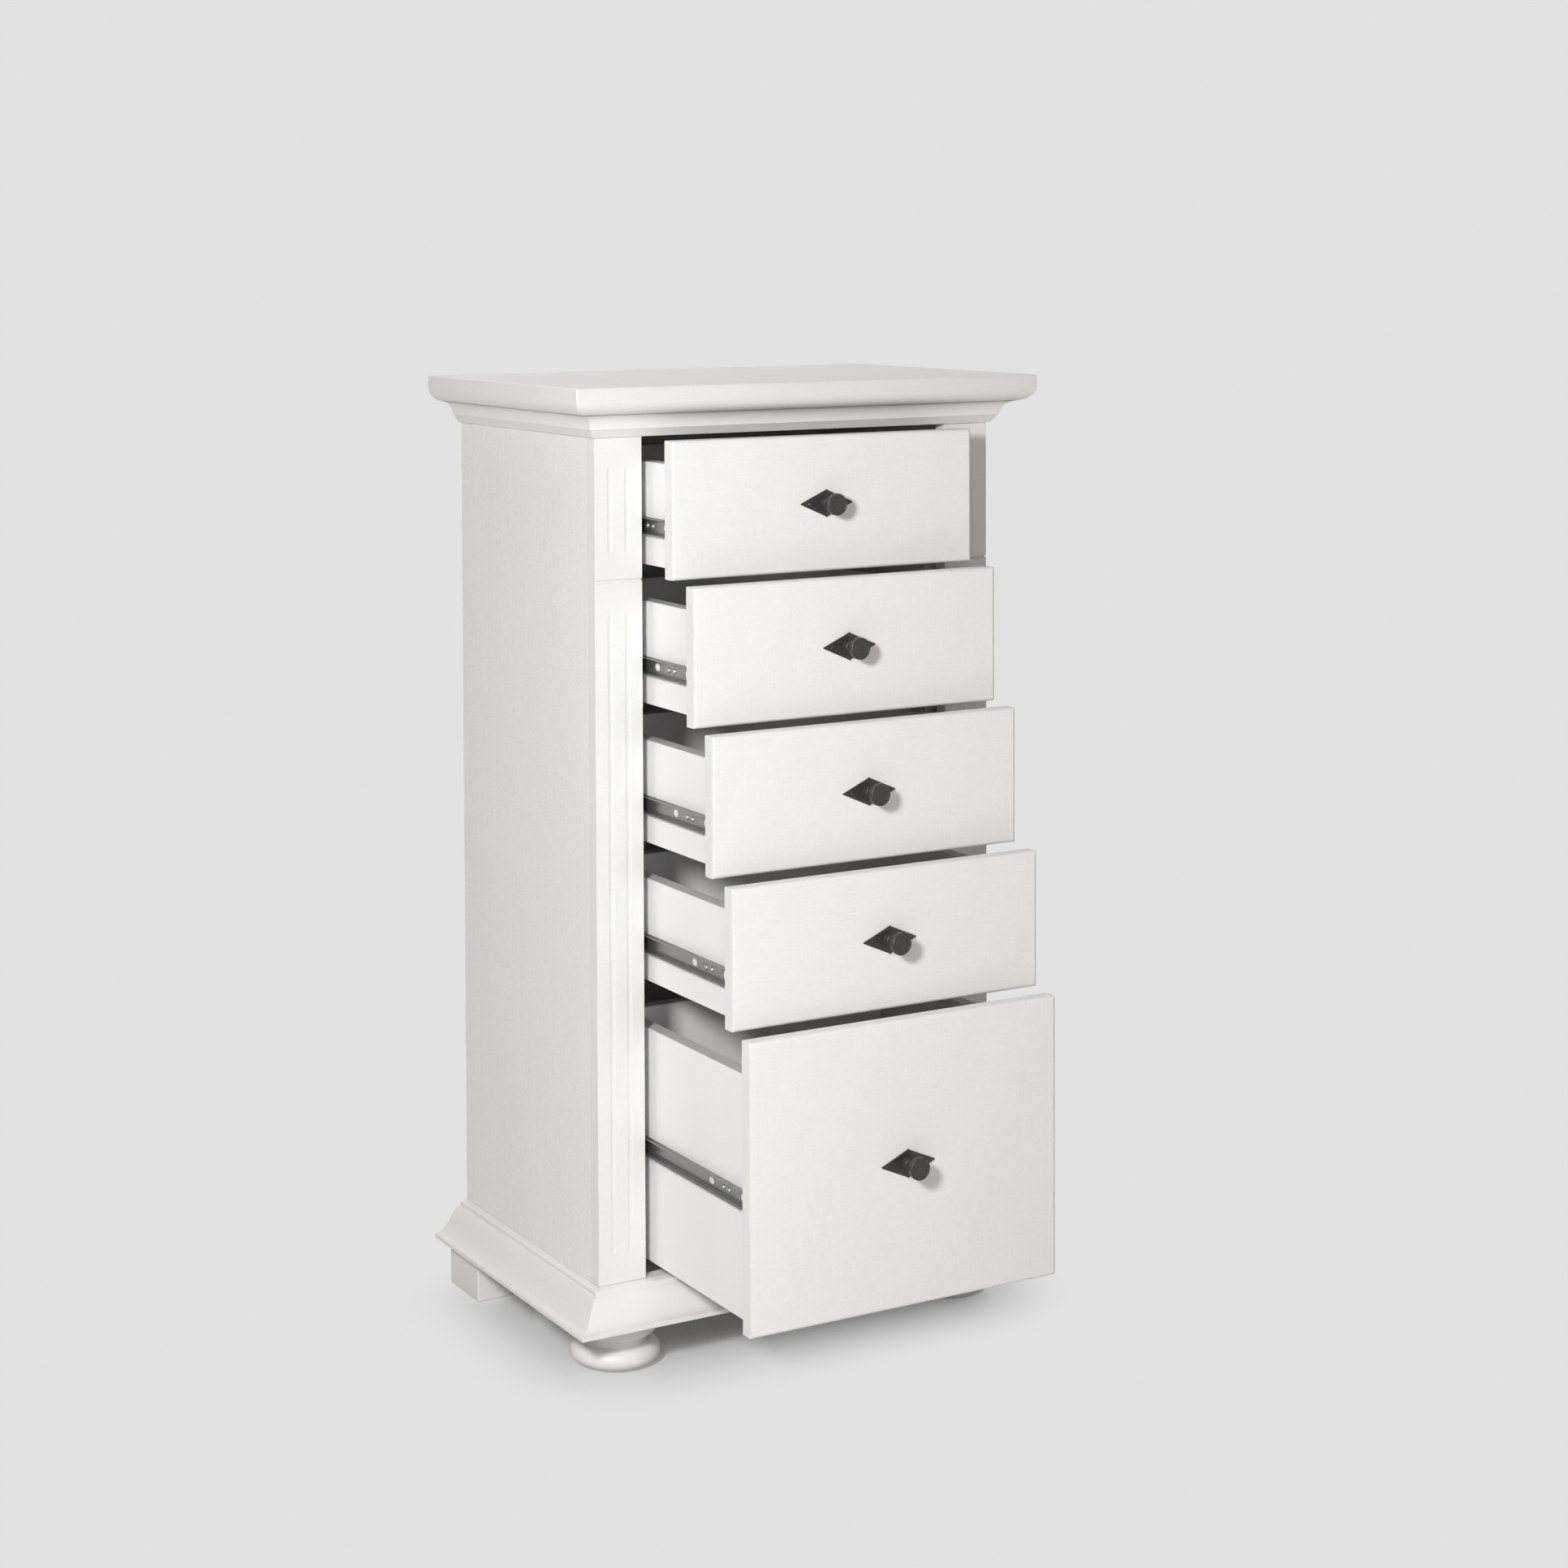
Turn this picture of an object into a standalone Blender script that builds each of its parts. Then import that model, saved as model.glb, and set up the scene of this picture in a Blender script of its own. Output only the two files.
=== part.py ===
"""Chest of five drawers: moulded cornice and base, fluted stiles, bun feet in front.

Metres, +Z up. The front faces -Y and +X is to its right. The origin is on the floor, under
the middle of the whole chest with its drawers standing open as they are here.
"""

from math import cos, pi, radians, sin

import bmesh
import bpy
from mathutils import Matrix

# Case
CASE_WIDTH = 0.570  # over the side panels
CASE_DEPTH = 0.380  # front of the stiles to the back edge of the sides
CASE_HEIGHT = 1.200  # floor to top
SIDE_THICKNESS = 0.018
BACK_THICKNESS = 0.006
RABBET_DEPTH = 0.008  # the back panel lies in rabbets along the sides
RABBET_WIDTH = 0.009
BOARD_THICKNESS = 0.018  # bottom board
SEAT = 0.0003  # between pieces that touch

# Stiles
STILE_WIDTH = 0.0645
STILE_THICKNESS = 0.0205
FLUTE_WIDTH = 0.008
FLUTE_DEPTH = 0.0025
FLUTE_SPACING = 0.0235
UPPER_FLUTES = 0.104  # length
LOWER_FLUTES = 0.780
FLUTE_MARGIN = 0.036  # from the top and bottom of the stile
GROOVE_WIDTH = 0.005  # the V groove between upper and lower flutes
GROOVE_DEPTH = 0.0035
GROOVE_DROP = 0.174  # below the top of the stile

# Cornice
TOP_FASCIA = 0.0145  # square edge of the top board
OVOLO = 0.019  # quarter round under it
COVE_HEIGHT = 0.0198
COVE_FOOT = 0.0113  # how far the cove still stands out at its foot
COVE_BEND_OUT = 0.30  # bend of the cove: share of its run, from its foot
COVE_BEND_DOWN = 0.27  # and share of its height, from its head
BEVEL_HEIGHT = 0.0087
CORNICE_OVERHANG = 0.047
TOP_ARRIS = 0.0015

# Base
BASE_OVERHANG = 0.0468
BASE_FILLET = 0.0055
OGEE_HEIGHT = 0.0318
OGEE_HOLLOW = (0.389, 0.126)  # bends: shares of the run, and of the height from its head
OGEE_SWELL = (0.469, 0.969)
LEDGE_OUT = 0.0095
LEDGE_HEIGHT = 0.0047
LEDGE_SLOPE = 0.0021
LEDGE_ARRIS = 0.001
FRAME_INSET = 0.0175  # how far both mouldings reach in under the case
BOARD_DROP = 0.010  # bottom board below the top of the base

# Feet
FOOT_HEIGHT = 0.0637
BUN_RADIUS = 0.056
BUN_SOLE = 0.026
BUN_HEIGHT = 0.028
BUN_WIDEST = 0.54  # share of its height
BUN_START = 15  # degrees round its upper half
BUN_WAIST = 0.0426
COLLAR_RADIUS = 0.0394
COLLAR_HEIGHT = 0.0084
DISC_RADIUS = 0.051
BUN_IN = 0.0395  # axis in from the outer face of the side
BUN_BACK = 0.035  # axis back from the front of the stiles
REAR_FOOT_WIDTH = 0.083
REAR_FOOT_DEPTH = 0.085
REAR_FOOT_OUT = 0.0245  # how far it stands out past the side
FOOT_ARRIS = 0.002
BLOCK_SIZE = 0.062  # corner blocks over the feet

# Drawer fronts
REVEAL = 0.0031  # between fronts, and above and below them
SIDE_REVEAL = 0.0048
SHALLOW_FRONT = 0.1671
FRONT_THICKNESS = 0.0185
FRONT_ROUND = 0.004
OPENED = (0.0669, 0.1185, 0.1620, 0.2067, 0.2452)  # top drawer first

# Drawer boxes, as long as their slides
BOX_BOARD = 0.019
BOX_RISE = 0.0125  # above the lower edge of the front
SHALLOW_DROP = 0.029  # below the upper edge of the front
DEEP_DROP = 0.0434
PANEL_THICKNESS = 0.006
PANEL_RISE = 0.012  # above the lower edge of the box
PANEL_GROOVE = 0.008
FRONT_GROOVE = 0.006

# Slides
SLIDE_SPACE = 0.0127  # between the box and the slide panel
SLIDE_SETBACK = 0.0005  # cabinet member behind the stile
SLIDE_SHORT = 0.001  # and short of the back panel
MEMBER_SETBACK = 0.0015  # drawer member behind the front
SLIDE_SHEET = 0.0012
MEMBER_HEIGHT = 0.021
MEMBER_REACH = 0.0095  # how far each channel reaches across the space
BALL_GROOVE = 0.0012
BALL_GROOVE_WIDTH = 0.0046
GROOVE_FACETS = 4
BALL_SIZE = 0.0048
BALL_PLAY = 0.00035
BALL_SEAT = 0.0004
CAGE_LENGTH = 0.060
SHALLOW_SLIDE = 0.0605  # centre line above the lower edge of the front
ACCESS_HOLE = 0.0095
ACCESS_HOLE_BACK = 0.102  # from the face of the front

# Slide panels, on battens against the sides
SLIDE_PANEL = 0.0195
SLIDE_PANEL_BACK = 0.025  # behind the stile
SLIDE_PANEL_OVER = 0.033  # above the top slide
BATTEN_WIDTH = 0.040

# Knobs and backplates
PLATE_WIDTH = 0.0742
PLATE_HEIGHT = 0.0344
PLATE_THICKNESS = 0.0016
PLATE_TIP = 0.0015
PLATE_HOLE = 0.0022
PLATE_HOLE_IN = 0.012
KNOB_REACH = 0.028  # from the front to the face of the knob
KNOB_COLLAR = 0.0103
KNOB_SHOULDER = 0.0087
KNOB_NECK = 0.006
KNOB_RING = 0.0122
KNOB_RADIUS = 0.0135
COLLAR_THICKNESS = 0.0018
SHOULDER_THICKNESS = 0.0018
HEAD_THICKNESS = 0.0065
RING_THICKNESS = 0.0032
KNOB_ARRIS = 0.0006

HALF = CASE_WIDTH / 2
BASE_TOP = FOOT_HEIGHT + BASE_FILLET + OGEE_HEIGHT + LEDGE_HEIGHT + LEDGE_SLOPE
CORNICE_FOOT = CASE_HEIGHT - TOP_FASCIA - OVOLO - COVE_HEIGHT - BEVEL_HEIGHT
DEEP_FRONT = CORNICE_FOOT - BASE_TOP - 4 * SHALLOW_FRONT - 6 * REVEAL
BOX_HALF = HALF - STILE_WIDTH - SLIDE_SPACE
SLIDE_LENGTH = CASE_DEPTH - RABBET_DEPTH - SLIDE_SHORT - STILE_THICKNESS - SLIDE_SETBACK
DRAWER_REACH = max(OPENED) + KNOB_REACH
FRONT_Y = -(CASE_DEPTH - DRAWER_REACH) / 2


def back(depth):
    """Y of a point this far behind the front of the stiles."""
    return FRONT_Y + depth


def clear_scene():
    for obj in list(bpy.data.objects):
        bpy.data.objects.remove(obj, do_unlink=True)


def material(name, colour, roughness, metallic=0.0):
    made = bpy.data.materials.new(name)
    made.use_nodes = True
    shader = made.node_tree.nodes["Principled BSDF"]
    shader.inputs["Base Color"].default_value = (*colour, 1)
    shader.inputs["Roughness"].default_value = roughness
    shader.inputs["Metallic"].default_value = metallic
    return made


def mesh_of(name, bm, sharp=30):
    """The finished mesh: faces outward, round stretches smooth."""
    bmesh.ops.recalc_face_normals(bm, faces=bm.faces)
    mesh = bpy.data.meshes.new(name)
    bm.to_mesh(mesh)
    bm.free()
    mesh.shade_smooth()
    mesh.set_sharp_from_angle(angle=radians(sharp))
    return mesh


def add(name, mesh, finish, parent=None, place=(0, 0, 0)):
    if not mesh.materials:
        mesh.materials.append(finish)
    obj = bpy.data.objects.new(name, mesh)
    obj.location = place
    obj.parent = parent
    bpy.context.scene.collection.objects.link(obj)
    return obj


def extrusion(name, outline, axis, low, high, sharp=30):
    """A solid of one outline, drawn across the axis and carried along it."""
    order = {"X": (2, 0, 1), "Y": (0, 2, 1), "Z": (0, 1, 2)}[axis]
    bm = bmesh.new()
    corners = []
    for first, second in outline:
        point = (first, second, low)
        corners.append(bm.verts.new([point[i] for i in order]))
    face = bm.faces.new(corners)
    moved = bmesh.ops.extrude_face_region(bm, geom=[face])["geom"]
    along = [(0, 0, high - low)[i] for i in order]
    verts = [v for v in moved if isinstance(v, bmesh.types.BMVert)]
    bmesh.ops.translate(bm, verts=verts, vec=along)
    return mesh_of(name, bm, sharp)


def block(name, x, y, z, arris=0.0):
    """A rectangular board between three pairs of limits."""
    outline = [(x[0], y[0]), (x[1], y[0]), (x[1], y[1]), (x[0], y[1])]
    mesh = extrusion(name, outline, "Z", z[0], z[1])
    if arris:
        bm = bmesh.new()
        bm.from_mesh(mesh)
        bmesh.ops.bevel(bm, geom=bm.edges[:], offset=arris, segments=1, affect="EDGES")
        bm.to_mesh(mesh)
        bm.free()
    return mesh


def lofted(name, rings, sharp=30):
    """A solid through rings of points, closed over the first and the last ring."""
    bm = bmesh.new()
    loops = [[bm.verts.new(point) for point in ring] for ring in rings]
    for one, two in zip(loops, loops[1:]):
        for i in range(len(one)):
            bm.faces.new((one[i - 1], one[i], two[i], two[i - 1]))
    bm.faces.new(loops[0])
    bm.faces.new(loops[-1])
    return mesh_of(name, bm, sharp)


def turned(name, profile, steps, turn=None):
    """A solid turned about Z from (radius, height) points that start and end on the axis."""
    bm = bmesh.new()
    verts = [bm.verts.new((radius, 0, height)) for radius, height in profile]
    edges = [bm.edges.new(pair) for pair in zip(verts, verts[1:])]
    bmesh.ops.spin(bm, geom=verts + edges, axis=(0, 0, 1), cent=(0, 0, 0),
                   angle=2 * pi, steps=steps)
    bmesh.ops.remove_doubles(bm, verts=bm.verts, dist=1e-6)
    if turn:
        bmesh.ops.transform(bm, matrix=turn, verts=bm.verts)
    return mesh_of(name, bm)


def carved(mesh, others, operation="DIFFERENCE"):
    """The mesh with the other meshes cut away from it, or united with it."""
    scene = bpy.context.scene.collection
    helpers = [bpy.data.objects.new("helper", m) for m in [mesh] + others]
    for helper in helpers:
        scene.objects.link(helper)
    for other in helpers[1:]:
        modifier = helpers[0].modifiers.new("shape", "BOOLEAN")
        modifier.operation = operation
        modifier.solver = "EXACT"
        modifier.object = other
    graph = bpy.context.evaluated_depsgraph_get()
    made = bpy.data.meshes.new_from_object(helpers[0].evaluated_get(graph))
    made.name = mesh.name
    for helper in helpers:
        bpy.data.objects.remove(helper, do_unlink=True)
    return made


def arc(centre, radius, start, end, steps):
    """Points on a circle or, with a pair of radii, an ellipse; angles in degrees."""
    across, up = radius if isinstance(radius, tuple) else (radius, radius)
    angles = [radians(start + (end - start) * i / steps) for i in range(steps + 1)]
    return [(centre[0] + across * cos(a), centre[1] + up * sin(a)) for a in angles]


def bezier(points, steps):
    """Points along a Bezier curve with three or four control points."""
    made = []
    for i in range(steps + 1):
        level, t = points, i / steps
        while len(level) > 1:
            level = [
                tuple(a + (b - a) * t for a, b in zip(one, two))
                for one, two in zip(level, level[1:])
            ]
        made.append(level[0])
    return made


def round_the_front(profile):
    """A profile of (out, z) points at the four stations of a mitred run: back left,
    front left, front right and back right. Out is measured from the case's faces."""
    rear = back(CASE_DEPTH)
    return [
        [(-HALF - out, rear, z) for out, z in profile],
        [(-HALF - out, back(-out), z) for out, z in profile],
        [(HALF + out, back(-out), z) for out, z in profile],
        [(HALF + out, rear, z) for out, z in profile],
    ]


def top_board(finish):
    ovolo_foot = CASE_HEIGHT - TOP_FASCIA - OVOLO
    centre = (CORNICE_OVERHANG - OVOLO, CASE_HEIGHT - TOP_FASCIA)
    edge = (CORNICE_OVERHANG - TOP_ARRIS, CASE_HEIGHT - TOP_ARRIS)
    profile = [(centre[0], ovolo_foot)]
    profile += arc(centre, OVOLO, -80, 0, 8)
    profile += arc(edge, TOP_ARRIS, 0, 90, 3)
    stations = round_the_front(profile)
    mesh = lofted("top_board", zip(*stations))
    add("top_board", mesh, finish)


def cornice_moulding(finish):
    top = CASE_HEIGHT - TOP_FASCIA - OVOLO - SEAT
    head = CORNICE_OVERHANG - OVOLO
    foot = CORNICE_FOOT + BEVEL_HEIGHT
    bend = (COVE_FOOT + COVE_BEND_OUT * (head - COVE_FOOT), top - COVE_BEND_DOWN * COVE_HEIGHT)
    profile = bezier([(head, top), bend, (COVE_FOOT, foot)], 8)
    profile += [(0, CORNICE_FOOT), (-FRAME_INSET, CORNICE_FOOT), (-FRAME_INSET, top)]
    add("cornice_moulding", lofted("cornice_moulding", round_the_front(profile)), finish)


def base_moulding(finish):
    fillet = FOOT_HEIGHT + BASE_FILLET
    ledge = fillet + OGEE_HEIGHT
    run = BASE_OVERHANG - LEDGE_OUT
    bends = [(LEDGE_OUT + out * run, ledge - down * OGEE_HEIGHT)
             for out, down in (OGEE_HOLLOW, OGEE_SWELL)]
    ogee = bezier([(LEDGE_OUT, ledge), *bends, (BASE_OVERHANG, fillet)], 12)
    profile = [(-FRAME_INSET, BASE_TOP), (0, BASE_TOP)]
    profile += [(LEDGE_OUT - LEDGE_ARRIS, ledge + LEDGE_HEIGHT),
                (LEDGE_OUT, ledge + LEDGE_HEIGHT - LEDGE_ARRIS)]
    profile += ogee
    profile += [(BASE_OVERHANG, FOOT_HEIGHT), (-FRAME_INSET, FOOT_HEIGHT)]
    add("base_moulding", lofted("base_moulding", round_the_front(profile)), finish)


def bottom_board(finish):
    """The board inside the base, with a corner block under it over each foot."""
    half = HALF - FRAME_INSET - SEAT
    front = back(FRAME_INSET + SEAT)
    rear = back(CASE_DEPTH - RABBET_DEPTH)
    top = BASE_TOP - BOARD_DROP
    under = top - BOARD_THICKNESS
    board = block("bottom_board", (-half, half), (front, rear), (under, top))
    overlap = BOARD_THICKNESS / 2
    blocks = []
    for side in (-1, 1):
        across = sorted((side * half, side * (half - BLOCK_SIZE)))
        for near, far in ((front, front + BLOCK_SIZE), (rear - BLOCK_SIZE, rear)):
            blocks.append(block("block", across, (near, far), (FOOT_HEIGHT, under + overlap)))
    add("bottom_board", carved(board, blocks, "UNION"), finish)


def side_panel(name, side, finish):
    """A side panel, with the rabbet for the back panel along its inner back edge."""
    outer, inner = side * HALF, side * (HALF - SIDE_THICKNESS)
    notch = side * (HALF - RABBET_WIDTH)
    front, rear = back(STILE_THICKNESS + SEAT), back(CASE_DEPTH)
    shoulder = back(CASE_DEPTH - RABBET_DEPTH)
    outline = [(outer, front), (inner, front), (inner, shoulder), (notch, shoulder),
               (notch, rear), (outer, rear)]
    mesh = extrusion(name, outline, "Z", BASE_TOP + SEAT, CORNICE_FOOT - SEAT)
    add(name, mesh, finish)


def back_panel(finish):
    """The back, with a tongue up to the top board and one down over the bottom board."""
    half, narrow = HALF - RABBET_WIDTH - SEAT, HALF - FRAME_INSET - SEAT
    low, high = BASE_TOP + SEAT, CORNICE_FOOT - SEAT
    foot = BASE_TOP - BOARD_DROP - BOARD_THICKNESS
    head = CASE_HEIGHT - TOP_FASCIA - OVOLO - SEAT
    right = [(narrow, foot), (narrow, low), (half, low), (half, high), (narrow, high),
             (narrow, head)]
    outline = right + [(-across, up) for across, up in reversed(right)]
    front = back(CASE_DEPTH - RABBET_DEPTH + SEAT)
    mesh = extrusion("back_panel", outline, "Y", front, front + BACK_THICKNESS)
    add("back_panel", mesh, finish)


def flute_cutter(centre_x, low, high):
    """A round bar with ball ends, sunk into the face of the stile to the flute's depth."""
    radius = (FLUTE_WIDTH ** 2 / 4 + FLUTE_DEPTH ** 2) / (2 * FLUTE_DEPTH)
    reach = radius - FLUTE_WIDTH / 2
    bm = bmesh.new()
    bmesh.ops.create_uvsphere(bm, u_segments=24, v_segments=12, radius=radius)
    for vert in bm.verts:
        vert.co.z += high - radius + reach if vert.co.z > 0 else low + radius - reach
    bmesh.ops.translate(bm, verts=bm.verts, vec=(centre_x, FLUTE_DEPTH - radius, 0))
    return mesh_of("flute", bm)


def stile_mesh():
    """A stile, drawn from the middle of its width and the front of its face."""
    half = STILE_WIDTH / 2
    bottom, top = BASE_TOP + SEAT, CORNICE_FOOT - SEAT
    body = block("stile", (-half, half), (0, STILE_THICKNESS), (bottom, top))
    cutters = []
    for centre in (-FLUTE_SPACING / 2, FLUTE_SPACING / 2):
        upper = top - FLUTE_MARGIN
        cutters.append(flute_cutter(centre, upper - UPPER_FLUTES, upper))
        lower = bottom + FLUTE_MARGIN
        cutters.append(flute_cutter(centre, lower, lower + LOWER_FLUTES))
    level = top - GROOVE_DROP
    slope = GROOVE_WIDTH / GROOVE_DEPTH / 2
    over = GROOVE_DEPTH
    mouth = (GROOVE_DEPTH + over) * slope
    vee = [(-over, level - mouth), (GROOVE_DEPTH, level), (-over, level + mouth)]
    cutters.append(extrusion("vee", vee, "X", -2 * half, 2 * half))
    return carved(body, cutters)


def stiles(finish):
    mesh = stile_mesh()
    for name, side in (("stile_left", -1), ("stile_right", 1)):
        add(name, mesh, finish, place=(side * (HALF - STILE_WIDTH / 2), FRONT_Y, 0))


def bun_foot(name, side, mesh, finish):
    add(name, mesh, finish, place=(side * (HALF - BUN_IN), back(BUN_BACK), 0))


def bun_mesh():
    """A flattened ball, a collar above it and a wide disc under the base."""
    widest = BUN_WIDEST * BUN_HEIGHT
    lower = arc((BUN_SOLE, widest), (BUN_RADIUS - BUN_SOLE, widest), -90, 0, 7)
    bulge = (BUN_RADIUS - BUN_WAIST, BUN_HEIGHT - widest)
    upper = arc((BUN_WAIST, widest), bulge, BUN_START, 90, 5)
    collar_top = BUN_HEIGHT + COLLAR_HEIGHT
    flare = (DISC_RADIUS - COLLAR_RADIUS) / 2
    top = FOOT_HEIGHT - SEAT
    profile = [(0, 0)] + lower + upper
    profile += [(COLLAR_RADIUS, collar_top), (DISC_RADIUS, collar_top + flare),
                (DISC_RADIUS, top), (0, top)]
    return turned("bun_foot", profile, 40)


def rear_foot(name, side, finish):
    outer = side * (HALF + REAR_FOOT_OUT)
    inner = outer - side * REAR_FOOT_WIDTH
    rear = back(CASE_DEPTH)
    mesh = block(name, sorted((outer, inner)), (rear - REAR_FOOT_DEPTH, rear),
                 (0, FOOT_HEIGHT - SEAT), FOOT_ARRIS)
    add(name, mesh, finish)


def slide_panel(name, side, slide_height, finish):
    """A board flush with the inner edge of the stile, on three battens along the side."""
    def inward(distance):
        return side * (HALF - distance)

    front = back(STILE_THICKNESS + SLIDE_PANEL_BACK)
    rear = back(CASE_DEPTH - RABBET_DEPTH)
    face, behind = inward(STILE_WIDTH), inward(STILE_WIDTH - SLIDE_PANEL)
    wall = inward(SIDE_THICKNESS + SEAT)
    middle = (front + rear) / 2
    outline = [(face, front)]
    for start in (front, middle - BATTEN_WIDTH / 2, rear - BATTEN_WIDTH):
        end = start + BATTEN_WIDTH
        outline += [(behind, start)] if start > front else []
        outline += [(wall, start), (wall, end)]
        outline += [(behind, end)] if end < rear else []
    outline += [(face, rear)]
    low = BASE_TOP - BOARD_DROP + SEAT
    mesh = extrusion(name, outline, "Z", low, slide_height + SLIDE_PANEL_OVER)
    add(name, mesh, finish)


def channel(web, lip, height, groove):
    """The section of a slide member, as (out from the box, up) points: a web, and two
    flanges with a round groove for the balls. A negative groove bulges outward."""
    way = 1 if lip > web else -1
    middle = SLIDE_SPACE / 2
    half, wide = height / 2, BALL_GROOVE_WIDTH
    radius = (wide ** 2 / 4 + groove ** 2) / (2 * abs(groove))
    outer = [(web, half)]
    for i in range(GROOVE_FACETS + 1):
        across = (i / GROOVE_FACETS - 0.5) * wide
        dip = (radius ** 2 - across ** 2) ** 0.5 - (radius - abs(groove))
        outer.append((middle + way * across, half - (dip if groove > 0 else -dip)))
    outer.append((lip, half))
    inner = [(out, up - SLIDE_SHEET) for out, up in reversed(outer[1:])]
    inner.append((web + way * SLIDE_SHEET, half - SLIDE_SHEET))
    upper = outer + inner
    return upper + [(out, -up) for out, up in reversed(upper)]


def drawer_member(side):
    """The channel on the side of a drawer, drawn from the slide's centre line."""
    section = channel(SEAT, MEMBER_REACH, MEMBER_HEIGHT, BALL_GROOVE)
    outline = [(side * (BOX_HALF + out), up) for out, up in section]
    start = FRONT_THICKNESS + MEMBER_SETBACK
    body = extrusion("drawer_member", outline, "Y", start, start + SLIDE_LENGTH, 40)
    hole = arc((ACCESS_HOLE_BACK, 0), ACCESS_HOLE / 2, 0, 337.5, 15)
    ends = sorted((side * (BOX_HALF - SLIDE_SHEET), side * (BOX_HALF + 3 * SLIDE_SHEET)))
    return carved(body, [extrusion("hole", hole, "X", *ends)])


def ball_centre():
    """Height of the upper row of balls over the slide's centre line."""
    return MEMBER_HEIGHT / 2 - BALL_GROOVE + BALL_PLAY + BALL_SIZE / 2


def cabinet_height():
    """The cabinet member's flanges lie on the balls, with their grooves bulging out."""
    return 2 * (ball_centre() + BALL_SIZE / 2 - BALL_SEAT - BALL_GROOVE + SLIDE_SHEET)


def cabinet_member(side):
    """The channel on the slide panel, with the two rows of balls in its front end."""
    web = SLIDE_SPACE - SEAT
    section = channel(web, SLIDE_SPACE - MEMBER_REACH, cabinet_height(), -BALL_GROOVE)
    outline = [(side * (BOX_HALF + out), up) for out, up in section]
    start = STILE_THICKNESS + SLIDE_SETBACK
    body = extrusion("cabinet_member", outline, "Y", start, start + SLIDE_LENGTH, 40)
    rows = []
    for up in (ball_centre(), -ball_centre()):
        ring = arc((side * (BOX_HALF + SLIDE_SPACE / 2), up), BALL_SIZE / 2, 0, 315, 7)
        front = start + SLIDE_SHEET
        rows.append(extrusion("balls", ring, "Y", front, front + CAGE_LENGTH))
    return carved(body, rows, "UNION")


def drawer_front(height):
    """A board with its front edges rounded, drawn from the middle of its lower edge."""
    half = HALF - STILE_WIDTH - SIDE_REVEAL
    rings = []
    rounding = arc((FRONT_ROUND, FRONT_ROUND), FRONT_ROUND, 180, 270, 5)
    for depth, inset in [(FRONT_THICKNESS, 0)] + [(y, x) for x, y in rounding]:
        rings.append([(-half + inset, depth, inset), (half - inset, depth, inset),
                      (half - inset, depth, height - inset),
                      (-half + inset, depth, height - inset)])
    mesh = lofted("drawer_front", rings, 40)
    return carved(mesh, [panel_groove(FRONT_THICKNESS - FRONT_GROOVE, FRONT_THICKNESS * 2)])


def panel_level():
    return BOX_RISE + PANEL_RISE


def panel_groove(front, rear):
    """What is cut away for the bottom panel, a little higher than the panel is thick."""
    half = BOX_HALF - BOX_BOARD + PANEL_GROOVE
    level = panel_level()
    return block("groove", (-half, half), (front, rear),
                 (level, level + PANEL_THICKNESS + 2 * SEAT))


def box_rear():
    return FRONT_THICKNESS + SLIDE_LENGTH


def drawer_box(top):
    """Two sides and the back, with the groove for the bottom panel round their inside."""
    front, rear = FRONT_THICKNESS + SEAT, box_rear()
    inner = BOX_HALF - BOX_BOARD
    outline = [(-BOX_HALF, front), (-inner, front), (-inner, rear - BOX_BOARD),
               (inner, rear - BOX_BOARD), (inner, front), (BOX_HALF, front),
               (BOX_HALF, rear), (-BOX_HALF, rear)]
    mesh = extrusion("drawer_box", outline, "Z", BOX_RISE, top)
    return carved(mesh, [panel_groove(FRONT_THICKNESS / 2, rear - BOX_BOARD + PANEL_GROOVE)])


def drawer_bottom():
    half = BOX_HALF - BOX_BOARD + PANEL_GROOVE - SEAT
    level = panel_level() + SEAT
    return block("drawer_bottom", (-half, half),
                 (FRONT_THICKNESS - FRONT_GROOVE + SEAT,
                  box_rear() - BOX_BOARD + PANEL_GROOVE - SEAT),
                 (level, level + PANEL_THICKNESS))


def backplate():
    """A flat diamond with blunted points and a small hole near each side point."""
    wide, tall, tip = PLATE_WIDTH / 2, PLATE_HEIGHT / 2, PLATE_TIP / 2
    upper = [(wide, tip), (tip, tall), (-tip, tall), (-wide, tip)]
    outline = upper + [(across, -up) for across, up in reversed(upper)]
    front, rear = -SEAT - PLATE_THICKNESS, -SEAT
    body = extrusion("backplate", outline, "Y", front, rear)
    holes = []
    for side in (-1, 1):
        ring = arc((side * (wide - PLATE_HOLE_IN), 0), PLATE_HOLE / 2, 0, 330, 11)
        holes.append(extrusion("hole", ring, "Y", front - PLATE_TIP, rear + PLATE_TIP))
    return carved(body, holes)


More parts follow.
